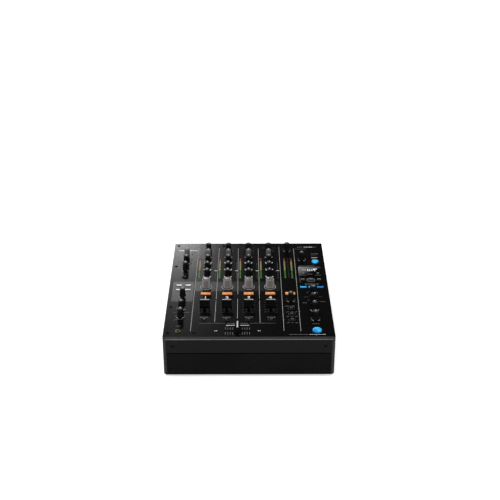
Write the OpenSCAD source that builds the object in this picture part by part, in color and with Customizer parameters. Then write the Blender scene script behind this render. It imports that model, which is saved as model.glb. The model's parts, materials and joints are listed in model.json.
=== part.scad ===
// Four-channel DJ mixer with a steel tray, a folded metal deck, separate knobs,
// faders and buttons, and a rear panel of sockets.
// +X points to the user's right, -Y to the user and +Z up. The origin is at the
// bottom centre of the whole object, on the plane that its feet stand on.

/* [Case] */
// Width of the case
body_w = 320; // [288:1:352]
// Depth of the deck from its front face to its rear edge
deck_d = 384; // [346:1:422]
// Height of the case without its feet
body_h = 81; // [73:0.5:90]
// Thickness of the folded deck
deck_t = 2; // [1.6:0.1:2.6]
// Thickness of the tray's sheet steel
wall_t = 1.5; // [1.2:0.1:2.2]
// Size of the bevel along the deck's front edge
front_bevel = 4; // [3:0.1:5]
// Size of the bevel at each upright front corner
corner_bevel = 4.2; // [3.5:0.1:5.5]
// Height of the deck's front flange below the bevel
flange_h = 29; // [24:0.5:32]
// Shadow gap between the deck's flange and the lower front panel
groove_h = 2.3; // [1.5:0.1:4]
// How far the lower front panel sits behind the flange's face
panel_recess = 0.8; // [0.4:0.1:1.4]
// How far the rear panel sits in under the deck's rear edge
rear_inset = 5.6; // [4:0.1:8]
// Gap between neighbouring sheet parts
sheet_gap = 0.3; // [0.2:0.05:0.6]
// Width of the tray's upper flanges
tray_flange = 5; // [4:0.1:5.5]
// Width of the screw tabs on the tray's upper flanges
tab_w = 13; // [12:0.1:13.4]
// Depth of those screw tabs
tab_d = 8; // [7:0.1:8.6]
// Length of a ventilation slot in the tray
vent_len = 20; // [12:1:26]
// Width of a ventilation slot
vent_w = 2.4; // [1.6:0.1:3]

/* [Feet and screws] */
// Height of the feet
foot_h = 7.4; // [5:0.1:10]
// Diameter of a foot at the case
foot_dia = 30; // [22:1:36]
// Distance between the left and right feet
feet_w = 250; // [220:1:266]
// Distance between the front and rear feet
feet_d = 296; // [260:1:310]
// Diameter of a screw's shank
screw_dia = 3; // [2.5:0.1:3.5]
// Diameter of a screw's head
head_dia = 5.8; // [5:0.1:6.6]
// Height of a screw's head
head_h = 1.1; // [0.8:0.1:1.4]
// Length of a screw's shank
screw_len = 6; // [5:0.5:8]

/* [Columns] */
// Distance between two channel columns
channel_pitch = 42.8; // [41:0.1:44]
// Place of the first channel's column
channel_x = -85.7; // [-90:0.1:-84]
// Place of the microphone and headphone column
left_x = -131.2; // [-134:0.1:-130]
// Place of the master column
master_x = 82.5; // [81:0.1:84]
// Place of the effects column
right_x = 127; // [125.5:0.1:128.5]

/* [Rows, from the front face] */
// Input selectors
selector_row = 351.5; // [348:0.5:354]
// Trim knobs
trim_row = 322; // [320:0.5:324]
// High equaliser knobs
high_row = 296; // [294:0.5:298]
// Middle equaliser knobs
mid_row = 266; // [264:0.5:268]
// Low equaliser knobs
low_row = 235.4; // [233:0.1:237]
// Colour effect knobs
color_row = 191.4; // [190:0.1:194]
// Cue buttons
cue_row = 163.2; // [162:0.1:164.5]
// Middle of the channel faders' travel
fader_row = 114.9; // [113:0.1:116]
// Crossfader assign switches
assign_row = 63.4; // [62:0.1:65]
// Crossfader
cross_row = 24; // [23:0.1:25]

/* [Knobs] */
// Diameter of a standard knob's skirt
knob_dia = 12.4; // [11.6:0.1:14]
// Height of a standard knob above the deck
knob_h = 17; // [14:0.1:19]
// Diameter of a colour effect knob
color_dia = 18; // [16:0.1:19]
// Height of a colour effect knob above the deck
color_h = 19.5; // [17:0.1:22]
// Diameter of a knob's shaft
shaft_dia = 6; // [5:0.1:6.4]
// Clearance round a shaft in its bush
shaft_gap = 0.05; // [0.03:0.01:0.08]
// Gap between a knob's underside and the deck
knob_gap = 0.7; // [0.5:0.1:1.2]
// Radius of the grip flutes
flute_r = 0.8; // [0.6:0.05:0.9]

/* [Faders] */
// Travel of the channel faders and the crossfader
fader_travel = 45; // [40:0.5:46]
// Width of a channel fader's cap
cap_w = 19.5; // [18:0.1:22]
// Depth of a channel fader's cap
cap_d = 13; // [11:0.1:14]
// Width of the flat ridge on a fader's cap
ridge_w = 5; // [4:0.1:6]
// Height of a fader's cap above the deck
cap_h = 15; // [13:0.1:17]
// Width of the crossfader's cap along its travel
cross_w = 11.5; // [10:0.1:12.5]
// Length of the crossfader's cap across its travel
cross_d = 24; // [20:0.1:26]
// Thickness of a fader's lever
lever_t = 1.6; // [1.2:0.1:2]
// Width of the slot that a fader's lever runs in
slot_w = 3.2; // [2.8:0.1:4]
// Diameter of a fader's guide rods
rod_dia = 2; // [1.6:0.1:2.4]

/* [Buttons and switches] */
// Width of a cue button
cue_w = 19.5; // [17:0.1:22]
// Depth of a cue button
cue_d = 8.8; // [8:0.1:11]
// Height of the buttons above the deck
button_h = 1.8; // [1.6:0.1:2.6]
// Gap round a button in its window
button_gap = 0.35; // [0.25:0.05:0.5]
// Travel of the buttons
button_travel = 1.2; // [0.8:0.1:1.6]
// Diameter of the effect on/off button
onoff_dia = 17.4; // [16:0.1:19]
// Diameter of the send button
send_on_dia = 15; // [13:0.1:16]
// Diameter of the tap button
tap_dia = 14; // [12:0.1:14.6]
// How much higher the domed on/off button is than the flat buttons
dome_rise = 2.2; // [0.8:0.1:2.8]
// Travel of the slide switches to each side
switch_travel = 2.5; // [2:0.1:3]
// Travel of the power button
power_travel = 2.5; // [2:0.1:3.5]

/* [Windows] */
// Width of the display window
display_w = 46; // [44:0.5:47]
// Depth of the display window
display_d = 40; // [38:0.5:42]
// Width of a level meter window
meter_w = 5; // [4:0.1:6]
// Length of a level meter window
meter_len = 91; // [80:1:95]

/* [Rear sockets] */
// How far a phono socket's barrel stands out of the rear panel
rca_len = 8.4; // [7.6:0.1:10]
// Diameter of a phono socket's barrel
rca_dia = 8.3; // [8:0.1:8.6]
// Bore of the 6.35 mm jack sockets
jack_bore = 6.5; // [6.4:0.05:6.7]
// Bore of the 3.5 mm jack socket
mini_bore = 3.7; // [3.6:0.05:3.9]
// Bore of an XLR socket's well
xlr_bore = 18.9; // [18.4:0.1:19.4]
// Height of the lower row of rear sockets above the case's bottom
low_sockets = 17.6; // [17:0.1:20]
// Height of the middle of the upper rows of rear sockets
high_sockets = 48.6; // [46:0.1:49]

/* [Hidden] */
channels = 4;
eps = 0.02;

// The columns, rows and socket heights above are laid out on a case of this size, and
// keep their share of it when the case changes
layout_w = 320;
layout_d = 384;
layout_h = 81;
function col(x) = x * body_w / layout_w;
function lay(row) = row * deck_d / layout_d;
function rise(z) = foot_h + z * body_h / layout_h;

// Overall frame
reach_d = head_h + deck_d - rear_inset + rca_len;
y_front = head_h - reach_d / 2;
y_rear = y_front + deck_d;
y_panel = y_rear - rear_inset;
z_deck = foot_h + body_h;
z_under = z_deck - deck_t;
z_floor = foot_h + wall_t;
z_flange = z_deck - front_bevel - flange_h;
z_panel = z_flange - groove_h;
half_w = body_w / 2;
inner_half = half_w - wall_t - sheet_gap;
front_half = half_w - corner_bevel - wall_t * sqrt(2) - sheet_gap;
tab_back = 4;
z_low = rise(low_sockets);
z_high = rise(high_sockets);

// Control board under the deck
board_drop = 13;
board_t = 1.6;
z_board = z_under - board_drop;
pot_h = 7;
pot_w = 11;
bush_dia = shaft_dia + 3;
bush_top = 0.6;
shaft_hole = bush_dia + 0.6;
shaft_depth = pot_h - 1.5;
stem_dia = 3;
stem_gap = 0.05;
stem_hole_h = 6;
switch_h = 7;

// Faders
track_w = 12;
track_h = 11;
track_wall = 1;
carriage_h = 6;
carriage_w = track_w - 2 * track_wall - 0.8;
carriage_d = 9;
rod_gap = 0.05;
rod_spread = 5.6;
rod_drop = 6.5;
lever_d = 4;
slot_len = fader_travel + lever_d + 3;
track_len = fader_travel + carriage_d + 2 * track_wall + 3;
cap_gap = 1;

// Places of the controls: column and row as laid out
function ch_x(c) = channel_x + (c - 1) * channel_pitch;
cross_x = channel_x + 1.5 * channel_pitch;
mic_rows = [326, 296.4, 266.2];
mic_switch_row = 231.2;
param_row = 156.8;
phones_rows = [108.2, 78.4];
jack_x = left_x - 1.3;
mini_row = 40.3;
jack_row = 23;
level_row = 353;
booth_row = 138.9;
send_at = [right_x - 14.3, 310.2];
effect_rows = [165.8, 134.7, 103, 67.8];
curve_rows = [105, 83.7, 62.4];
display_at = [right_x, 256];
meter_row = 271;
meter_shift = 17.2;
METERS = concat([for (c = [1 : channels]) ch_x(c) - meter_shift + (c == 1 ? 0.8 : 0)],
    [master_x - 7.2, master_x + 7.2]);
usb_at = [right_x + 14.4, 333];
usb_w = 13.2;
usb_d = 5.8;

// Every rotary control: [column, row]
function row_of(row) = [for (c = [1 : channels]) [ch_x(c), row]];
ROTARIES = concat(row_of(selector_row), row_of(trim_row), row_of(high_row), row_of(mid_row),
    row_of(low_row), row_of(color_row),
    [for (r = concat(mic_rows, [param_row], phones_rows)) [left_x, r]],
    [[master_x, level_row], [master_x, booth_row], send_at],
    [for (r = effect_rows) [right_x, r]]);

// Buttons: [column, row, width, depth], and the round ones: [column, row, diameter, height]
CUES = concat([for (c = [1 : channels]) [ch_x(c), cue_row, cue_w, cue_d]],
    [[master_x, cue_row, cue_w, cue_d]]);
beat_row = 219.4;
band_row = 189.8;
tint_rows = [197, 179.2];
onoff_row = 24.4;
BANDS = [for (k = [-1 : 1]) [right_x + k * 17.2, band_row, 12.4, 6.4]];
BEATS = [for (k = [-1, 1]) [right_x + k * 16.7, beat_row, 9, 6.5]];
TINTS = [for (r = tint_rows) for (k = [-1, 1]) [left_x + k * 9.2, r, 11, 4.4]];
PADS = concat(BANDS, BEATS, TINTS);
ROUNDS = [[right_x, beat_row, tap_dia, button_h], [right_x, onoff_row, onoff_dia, button_h + dome_rise],
    [right_x + 13.4, 297.6, send_on_dia, button_h + 1.2]];

// Slide switches: [column, row]
SWITCHES = concat(row_of(assign_row), [for (r = curve_rows) [master_x, r]],
    [[left_x, mic_switch_row]]);
nub_w = 4.4;
nub_d = 3.6;
nub_h = 3;
switch_slot = nub_w + 2 * switch_travel + 1;
// Depth of a slider's underside below the deck
slider_drop = 3;

// Deck screws: [x, distance from the front face]; the last four stand between columns
side_x = half_w - 8.5;
back_screw = deck_d - rear_inset - deck_t - tab_d / 2 - 0.4;
DECK_SCREWS = [[-side_x, 18.5], [-side_x, lay(112.5)], [-side_x, lay(278)], [-side_x, back_screw],
    [side_x, 17.4], [side_x, lay(83)], [side_x, lay(285)], [side_x, back_screw],
    [channel_x - 16.7, 18.3], [master_x - 24, 13.5],
    [-54, back_screw], [54, back_screw]];
// The deck screws that stand over the tray's flanges
function side_screws() = [for (p = DECK_SCREWS) if (abs(p[0]) > half_w - tab_w) p];
upper_screw_x = front_half - 11.4;
upper_screw_z = z_flange + flange_h / 2;
lower_screw_x = front_half - 6.4;
lower_screw_z = foot_h + 12.6;

// Rear sockets: [x, z]
rca_pair = 15;
rca_side = 7.6;
function pair_z(z) = [z + rca_pair / 2, z - rca_pair / 2];
RCA = concat(
    [for (c = [1 : channels]) for (k = [-1, 1]) for (z = pair_z(z_high)) [ch_x(c) + k * rca_side, z]],
    [for (z = pair_z(z_high)) [master_x - 16.5, z]],
    [for (z = pair_z(z_low)) [master_x + 22.5, z]],
    [[channel_x - 4, z_low]]);
POSTS = [[channel_x + channel_pitch / 2, z_low], [channel_x + 1.5 * channel_pitch, z_low]];
post_dia = 7.4;
post_len = 7;
JACKS = concat([for (k = [0 : 3]) [k * 17 - 4, z_low]],
    [for (k = [0, 1]) [master_x - 13.5 + k * 18, z_low]]);
xlr_pitch = 28;
xlr_mid = [master_x + 31, z_high];
COMBO = [left_x, z_high];
inlet_at = [right_x + 6, z_low + 0.5];
power_at = [right_x + 23, z_high];
usb_b_at = [left_x + 8, z_low];
xlr_w = 26;
xlr_h = 29;
xlr_t = 2.2;
xlr_r = 11.6;
jack_r = 4.6;
mini_body = 9.2;
jack_body = 9;
inlet_w = 27.4;
inlet_h = 20;
inlet_well = [24.4, 16.8, 16];
bezel = 2;
power_w = 10;
power_h = 14;
// What the power button's skirt adds on each side, and the housing round it
power_skirt = 0.8;
power_case = 2;

// ---- Shared shapes ----

// Points of a rectangle w by d with corners of radius r
function rounded(w, d, r, n = 4) = [for (q = [0 : 3]) for (i = [0 : n])
    let (a = 90 * q + 90 * i / n, sx = (q == 0 || q == 3) ? 1 : -1, sy = q < 2 ? 1 : -1)
    [sx * (w / 2 - r) + r * cos(a), sy * (d / 2 - r) + r * sin(a)]];

// A plate w by d with round corners of radius r, whose lower face is at z
module slab(w, d, h, r, z = 0) {
    translate([0, 0, z]) linear_extrude(h) polygon(rounded(w, d, r));
}

// A shape at a laid-out place [column, row]
module at_deck(p, z = 0) {
    translate([col(p[0]), y_front + lay(p[1]), z]) children();
}

// A shape at a place [x, distance from the front face]
module at_edge(p, z = 0) {
    translate([p[0], y_front + p[1], z]) children();
}

// A shape drawn on the rear panel at [column, z]: its +Z points out of the back
module at_rear(p, out = 0) {
    translate([col(p[0]), y_panel + out, p[1]]) rotate([-90, 0, 0]) children();
}

// A shape at both output sockets
module at_xlrs(out = 0) {
    at_rear(xlr_mid, out) for (s = [-1, 1]) translate([s * xlr_pitch / 2, 0, 0]) children();
}

module at_front(x, y, z) {
    translate([x, y, z]) rotate([90, 0, 0]) children();
}

// Outline of the case seen from above, moved in by the given amount
function plan_points(inset) = let (x = half_w - inset, k = corner_bevel + inset * (sqrt(2) - 2) + inset,
    y0 = y_front + inset) [[-x, y_rear], [-x, y0 + k], [-x + k, y0], [x - k, y0], [x, y0 + k], [x, y_rear]];

module plan_block(inset, z0, z1) {
    translate([0, 0, z0]) linear_extrude(z1 - z0) polygon(plan_points(inset));
}

// A shape drawn as [y, z] points and drawn out along the case's width
module across(points, half) {
    rotate([90, 0, 90]) translate([0, 0, -half]) linear_extrude(2 * half) polygon(points);
}

// ---- Case ----

// Sheet section of the deck: flat top, bevelled front edge and front flange
bend = deck_t * (sqrt(2) - 1);
function deck_section() = [[y_rear, z_deck], [y_front + front_bevel, z_deck],
    [y_front, z_deck - front_bevel], [y_front, z_flange], [y_front + deck_t, z_flange],
    [y_front + deck_t, z_deck - front_bevel - bend], [y_front + front_bevel + bend, z_under],
    [y_rear, z_under]];

module deck_cuts() {
    low = z_under - 1;
    deep = deck_t + 2;
    for (p = ROTARIES) at_deck(p, low) cylinder(d = shaft_hole, h = deep, $fn = 32);
    for (c = [1 : channels]) at_deck([ch_x(c), fader_row], low)
        slab(slot_w, slot_len, deep, slot_w / 2 - 0.1);
    at_deck([cross_x, cross_row], low) slab(slot_len, slot_w, deep, slot_w / 2 - 0.1);
    for (p = concat(CUES, PADS)) at_deck(p, low)
        slab(p[2] + 2 * button_gap, p[3] + 2 * button_gap, deep, 1.2);
    for (p = ROUNDS) at_deck(p, low) cylinder(d = p[2] + 2 * button_gap, h = deep, $fn = 48);
    for (p = SWITCHES) at_deck(p, low) slab(switch_slot, nub_d + 0.8, deep, 0.6);
    at_deck(display_at, low) slab(display_w, display_d, deep, 2);
    for (x = METERS) at_deck([x, meter_row], low) slab(meter_w, meter_len, deep, 1);
    at_deck(usb_at, low) slab(usb_w + 1, usb_d + 1, deep, 0.8);
    at_deck([jack_x, mini_row], low) cylinder(d = mini_body + 0.4, h = deep, $fn = 32);
    at_deck([jack_x, jack_row], low) cylinder(d = jack_body + 0.4, h = deep, $fn = 32);
    for (p = DECK_SCREWS) at_edge(p, low) cylinder(d = screw_dia + 0.2, h = deep, $fn = 24);
}

module top_panel() {
    color([0.13, 0.13, 0.14]) difference() {
        union() {
            intersection() {
                across(deck_section(), half_w + 1);
                plan_block(0, z_under, z_deck + 1);
            }
            intersection() {
                across(deck_section(), front_half);
                translate([-half_w, y_front - 1, z_flange - 1])
                    cube([body_w, front_bevel + bend + 4, z_under - z_flange + 1 + eps]);
            }
        }
        deck_cuts();
        for (s = [-1, 1]) at_front(s * upper_screw_x, y_front + deck_t + 1, upper_screw_z)
            cylinder(d = screw_dia + 0.2, h = deck_t + 2, $fn = 24);
    }
}

vent_rows = 14;
vent_pitch = 7;
floor_vents = 9;

// Sheet-steel tray: floor, side walls, bevelled front corners and upper flanges
module base_tray() {
    color([0.07, 0.07, 0.075]) difference() {
        union() {
            difference() {
                plan_block(0, foot_h, z_under);
                plan_block(wall_t, z_floor, z_under + 1);
                translate([-half_w - 1, y_panel, foot_h - 1]) cube([body_w + 2, rear_inset + 1, body_h + 1]);
                translate([-front_half - sheet_gap, y_front - 1, z_floor])
                    cube([2 * (front_half + sheet_gap), tab_back + 3, body_h]);
            }
            for (s = [-1, 1]) tray_flange_strip(s);
            for (p = side_screws()) at_edge(p, z_under - wall_t)
                translate([p[0] > 0 ? half_w - tab_w - p[0] : -half_w + wall_t / 2 - p[0], -tab_d / 2, 0])
                    cube([tab_w - wall_t / 2, tab_d, wall_t]);
        }
        // The corners follow the deck's bevel
        across([[y_front - 1, z_deck - front_bevel - 1], [y_front + front_bevel + 1, z_deck + 1],
            [y_front - 1, z_deck + 1]], half_w + 1);
        tray_cuts();
    }
}

module tray_flange_strip(s) {
    front = y_front + 12;
    translate([s > 0 ? half_w - tray_flange : -half_w + wall_t / 2, front, z_under - wall_t])
        cube([tray_flange - wall_t / 2, y_panel - deck_t - sheet_gap - front, wall_t]);
}

module tray_cuts() {
    for (s = [-1, 1]) for (i = [0 : vent_rows - 1])
        translate([s * half_w, y_panel - 34 - i * vent_pitch, foot_h + body_h * 0.56]) rotate([0, 90, 0])
            slab(vent_len, vent_w, 10, vent_w / 2 - 0.1, -5);
    for (s = [-1, 1]) for (i = [0 : floor_vents - 1])
        translate([s * 70 + (i - (floor_vents - 1) / 2) * vent_pitch, 30, foot_h - 1])
            slab(vent_w, vent_len * 2, wall_t + 2, vent_w / 2 - 0.1);
    for (p = side_screws()) at_edge(p, z_under - wall_t - 1)
        cylinder(d = screw_dia + 0.2, h = wall_t + 2, $fn = 24);
    for (x = [-1, 1]) for (y = [-1, 1]) translate([x * feet_w / 2, y * feet_d / 2, foot_h - 1])
        cylinder(d = screw_dia + 0.2, h = wall_t + 2, $fn = 24);
}

// Lower front panel with an upright tab behind the deck's flange
module front_panel() {
    t = deck_t;
    f = y_front + panel_recess;
    b = y_front + tab_back;
    color([0.09, 0.09, 0.1]) difference() {
        across([[f, foot_h + wall_t + sheet_gap], [f, z_panel], [b, z_panel], [b, z_deck - front_bevel - 4],
            [b + t, z_deck - front_bevel - 4], [b + t, z_panel - t], [f + t, z_panel - t],
            [f + t, foot_h + wall_t + sheet_gap + t], [b + t + 8, foot_h + wall_t + sheet_gap + t],
            [b + t + 8, foot_h + wall_t + sheet_gap]], front_half);
        for (x = [-1, 0, 1]) at_front(x * lower_screw_x, f + t + 1, lower_screw_z)
            cylinder(d = screw_dia + 0.2, h = t + 2, $fn = 24);
        for (x = [-1, 1]) at_front(x * upper_screw_x, b + t + 1, upper_screw_z)
            cylinder(d = screw_dia + 0.2, h = t + 2, $fn = 24);
    }
}

hole_gap = 0.2;
module rear_panel() {
    out = -deck_t - 1;
    deep = deck_t + 2;
    color([0.1, 0.1, 0.105]) difference() {
        translate([-inner_half, y_panel - deck_t, z_floor + sheet_gap])
            cube([2 * inner_half, deck_t, z_under - z_floor - 2 * sheet_gap]);
        for (p = RCA) at_rear(p, out) cylinder(d = rca_neck + 2 * hole_gap, h = deep, $fn = 32);
        for (p = POSTS) at_rear(p, out) cylinder(d = screw_dia + 2 * hole_gap, h = deep, $fn = 24);
        for (p = JACKS) at_rear(p, out) cylinder(r = jack_r + hole_gap, h = deep, $fn = 32);
        at_xlrs(out) cylinder(r = xlr_r + hole_gap, h = deep, $fn = 48);
        at_rear(COMBO, out) cylinder(r = xlr_r + hole_gap, h = deep, $fn = 48);
        at_rear(inlet_at, out) slab(inlet_w + 2 * hole_gap, inlet_h + 2 * hole_gap, deep, 1.5);
        at_rear(power_at, out) slab(power_w + 2 * button_gap, power_h + 2 * button_gap, deep, 1);
        at_rear(usb_b_at, out) slab(usb_b[0] + 0.6, usb_b[1] + 0.6, deep, 0.8);
    }
}

module feet() {
    r = foot_dia / 2;
    color([0.05, 0.05, 0.05]) for (x = [-1, 1]) for (y = [-1, 1])
        translate([x * feet_w / 2, y * feet_d / 2, 0]) rotate_extrude($fn = 64)
            polygon([[4.4, 0], [r - 3, 0], [r - 1.6, 0.8], [r, foot_h], [screw_dia / 2 + 0.1, foot_h],
                [screw_dia / 2 + 0.1, 2.4], [4.4, 2.4]]);
}

cross_cut = 0.8;
// A pan-head screw standing on z = 0 with a cross recess and its shank below
module screw(len = screw_len) {
    r = head_dia / 2;
    difference() {
        rotate_extrude($fn = 32) polygon([[0, -len], [screw_dia / 2, -len], [screw_dia / 2, 0], [r, 0],
            [r, head_h * 0.45], [r * 0.72, head_h * 0.9], [r * 0.35, head_h], [0, head_h]]);
        for (a = [0, 90]) rotate([0, 0, a]) translate([-r * 0.55, -cross_cut / 2, head_h * 0.45])
            cube([r * 1.1, cross_cut, head_h]);
    }
}

module panel_screws() {
    color([0.16, 0.16, 0.17]) {
        for (p = DECK_SCREWS) at_edge(p, z_deck) screw();
        for (x = [-1, 1]) at_front(x * upper_screw_x, y_front, upper_screw_z) screw(tab_back + deck_t + 1);
        for (x = [-1, 0, 1]) at_front(x * lower_screw_x, y_front + panel_recess, lower_screw_z) screw();
        for (x = [-1, 1]) for (y = [-1, 1]) translate([x * feet_w / 2, y * feet_d / 2, 2.4]) mirror([0, 0, 1])
            screw(foot_h - 2.4 + wall_t + 2);
    }
}

// ---- Inside the case ----

// One fader unit: a channel with end walls, a lever slot and two guide rods.
// It hangs from z = 0 and runs along Y.
module fader_track() {
    inner = track_w - 2 * track_wall;
    difference() {
        translate([-track_w / 2, -track_len / 2, -track_h]) cube([track_w, track_len, track_h]);
        translate([-inner / 2, -track_len / 2 + track_wall, -track_h + track_wall])
            cube([inner, track_len - 2 * track_wall, track_h - 2 * track_wall]);
        translate([0, 0, -track_wall - 1]) slab(slot_w, slot_len, track_wall + 2, slot_w / 2 - 0.1);
    }
    for (s = [-1, 1]) translate([s * rod_spread / 2, 0, -rod_drop]) rotate([90, 0, 0])
        cylinder(d = rod_dia, h = track_len - track_wall, center = true, $fn = 24);
}

module fader_tracks() {
    color([0.55, 0.56, 0.58]) {
        for (c = [1 : channels]) at_deck([ch_x(c), fader_row], z_under) fader_track();
        at_deck([cross_x, cross_row], z_under) rotate([0, 0, 90]) fader_track();
    }
}

board_half = half_w - 10;
board_front = 12;
board_back = lay(max(selector_row, level_row)) + pot_w / 2 + 1;
post_in = 4;
post_rows = [board_back / 2 - 26, board_back - 7.5];
SPACERS = [for (x = [-1, 1]) for (r = post_rows) [x * (board_half - post_in), r]];
spacer_dia = 6;
tact_w = 6.4;
slider_case = [12, 5.2];

module control_board() {
    gap_d = 20;
    color([0.05, 0.25, 0.13]) difference() {
        union() {
            translate([-board_half, y_front + board_front, z_board - board_t])
                cube([2 * board_half, board_back - board_front, board_t]);
            for (p = ROTARIES) at_deck(p, z_board - eps) {
                translate([-pot_w / 2, -pot_w / 2, 0]) cube([pot_w, pot_w, pot_h]);
                cylinder(d = bush_dia, h = board_drop - bush_top, $fn = 32);
            }
            for (p = concat(CUES, PADS, ROUNDS)) at_deck(p, z_board - eps)
                translate([-tact_w / 2, -tact_w / 2, 0]) cube([tact_w, tact_w, switch_h]);
            for (p = SWITCHES) at_deck(p, z_board - eps)
                translate([-slider_case[0] / 2, -slider_case[1] / 2, 0])
                    cube([slider_case[0], slider_case[1], board_drop - slider_drop - 0.1]);
            for (p = SPACERS) at_edge(p, z_board - eps)
                cylinder(d = spacer_dia, h = board_drop + eps, $fn = 24);
        }
        for (p = ROTARIES) at_deck(p, z_board + pot_h - shaft_depth)
            cylinder(d = shaft_dia + 2 * shaft_gap, h = board_drop, $fn = 32);
        for (p = concat(CUES, PADS, ROUNDS)) at_deck(p, z_board + switch_h - stem_hole_h)
            cylinder(d = stem_dia + 2 * stem_gap, h = stem_hole_h + 1, $fn = 24);
        // Openings in the board round the jack sockets and the display module
        at_deck([jack_x, (mini_row + jack_row) / 2], z_board - board_t - 1)
            slab(gap_d, mini_row - jack_row + gap_d, board_t + 2, 2);
        at_deck(usb_at, z_board - board_t - 1) slab(usb_w + 4, usb_d + 6, board_t + 2, 1);
    }
}

// Supply board on posts, fastened to the tray's floor, with its mains inlet and power switch
psu_z = 6;
psu_w = 84;
psu_d = 110;
psu_side = 6;
psu_back = 25;
coil_size = [34, 30, 26];
capacitor = [16, 22];
fins = 6;
fin_size = [2, 22, 24];
inlet_reach = 22;
blade = [2, 4];
switch_reach = 17.5 + power_travel;
// Corners of the inlet's well, w by h, with its two lower corners cut
function inlet_outline(w, h, k) = [[-w, h], [-w, -h + k], [-w + k, -h], [w - k, -h], [w, -h + k], [w, h]];

// The supply's board with its coil, capacitors, cooling fins and posts
module supply_board() {
    top = z_floor + psu_z + board_t - eps;
    translate([half_w - wall_t - psu_side - psu_w, y_panel - deck_t - psu_back - psu_d, 0]) {
        translate([0, 0, z_floor + psu_z]) cube([psu_w, psu_d, board_t]);
        for (x = [6, psu_w - 6]) for (y = [6, psu_d - 6]) translate([x, y, z_floor])
            cylinder(d = spacer_dia, h = psu_z + eps, $fn = 24);
        translate([10, 40, top]) cube(coil_size);
        for (k = [0 : 2]) translate([58, 22 + k * 21, top])
            cylinder(d = capacitor[0], h = capacitor[1], $fn = 32);
        for (k = [0 : fins - 1]) translate([8 + k * 5, 8, top]) cube(fin_size);
    }
}

// A recessed inlet with three blades
module mains_inlet() {
    difference() {
        union() {
            translate([0, 0, -inlet_reach]) slab(inlet_w, inlet_h, inlet_reach + eps, 1.5);
            slab(inlet_w + 2 * bezel, inlet_h + 2 * bezel, bezel, 2);
        }
        translate([0, 0, bezel - inlet_well[2]]) linear_extrude(inlet_well[2] + 1)
            polygon(inlet_outline(inlet_well[0] / 2, inlet_well[1] / 2, 4.5));
    }
    for (k = [-1 : 1]) translate([k * 7, k == 0 ? 1.8 : -1.8, bezel - inlet_well[2] - 1])
        translate([-blade[0] / 2, -blade[1] / 2, 0]) cube([blade[0], blade[1], inlet_well[2] - 4.6]);
}

// Housing of the power switch, open towards the rear panel
module power_housing() {
    translate([0, 0, -deck_t - switch_reach]) difference() {
        slab(power_w + 2 * power_case, power_h + 2 * power_case, switch_reach, 1);
        slab(power_w + power_skirt + power_case, power_h + power_skirt + power_case, switch_reach, 1, 2);
    }
}

module power_supply() {
    color([0.12, 0.12, 0.12]) {
        supply_board();
        at_rear(inlet_at) mains_inlet();
        at_rear(power_at) power_housing();
    }
}

// ---- Windows ----

window_gap = 0.15;
window_rim = 1.2;
rim_t = 1;
lens_drop = 0.3;

// A clear plate seated in its cut-out from below, with a rim under the deck
module window(w, d, r) {
    slab(w - 2 * window_gap, d - 2 * window_gap, deck_t - lens_drop + eps, r - window_gap, -eps);
    slab(w + 2 * window_rim, d + 2 * window_rim, rim_t, r, -rim_t);
}

module clear_windows() {
    color([0.05, 0.05, 0.06]) {
        at_deck(display_at, z_under) window(display_w, display_d, 2);
        for (x = METERS) at_deck([x, meter_row], z_under) window(meter_w, meter_len, 1);
    }
}

// ---- Sockets ----

rca_case = [11, 12];
rca_bore = 3.4;
rca_neck = 10.4;
rca_rise = 0.4;
post_grips = 12;

// A phono socket: a barrel on the neck of a moulded block behind the panel
module phono_socket() {
    difference() {
        union() {
            translate([0, 0, rca_rise - eps]) cylinder(d = rca_dia, h = rca_len - rca_rise + eps, $fn = 32);
            translate([0, 0, -deck_t - eps]) cylinder(d = rca_neck, h = deck_t + rca_rise + eps, $fn = 32);
            translate([0, 0, -deck_t - rca_case[1]]) slab(rca_case[0], rca_case[0], rca_case[1], 0.8);
        }
        translate([0, 0, rca_len - 8]) cylinder(d = rca_bore, h = 9, $fn = 24);
    }
}

// A grounding post: a grooved thumb nut on a screw through the panel
module ground_post() {
    translate([0, 0, -deck_t - 4]) cylinder(d = screw_dia, h = deck_t + 4.2, $fn = 24);
    difference() {
        cylinder(d = post_dia, h = post_len, $fn = 32);
        for (i = [0 : post_grips - 1]) rotate([0, 0, 360 * i / post_grips]) translate([post_dia / 2, 0, 1.6])
            cylinder(d = 1, h = post_len, $fn = 16);
    }
}

module rca_sockets() {
    color([0.6, 0.6, 0.58]) {
        for (p = RCA) at_rear(p) phono_socket();
        for (p = POSTS) at_rear(p) ground_post();
    }
}

jack_case = [14, 15, 24];
jack_nut = 6.2;

// A 6.35 mm jack socket with its hexagonal nut outside the panel
module jack_socket() {
    difference() {
        union() {
            translate([0, 0, -deck_t - jack_case[2]]) slab(jack_case[0], jack_case[1], jack_case[2], 1);
            translate([0, 0, -deck_t - 1]) cylinder(r = jack_r, h = deck_t + 1 + 5, $fn = 32);
            cylinder(r = jack_nut, h = 2.4, $fn = 6);
        }
        translate([0, 0, -deck_t - 22]) cylinder(d = jack_bore, h = 40, $fn = 32);
    }
}

xlr_hole = 3.2;
xlr_depth = 16;
well_depth = 12;
pin_ring = 5.2;

// The square flange of a chassis socket, with its round body behind it
module xlr_shell(depth) {
    slab(xlr_w, xlr_h, xlr_t, 2);
    translate([0, 0, -deck_t - depth]) cylinder(r = xlr_r, h = deck_t + depth + eps, $fn = 48);
}

// Fixing holes in two opposite corners of the flange
module xlr_holes() {
    for (s = [-1, 1]) translate([s * (xlr_w / 2 - xlr_hole), s * (xlr_h / 2 - xlr_hole), -1])
        cylinder(d = xlr_hole, h = 9, $fn = 24);
}

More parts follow.
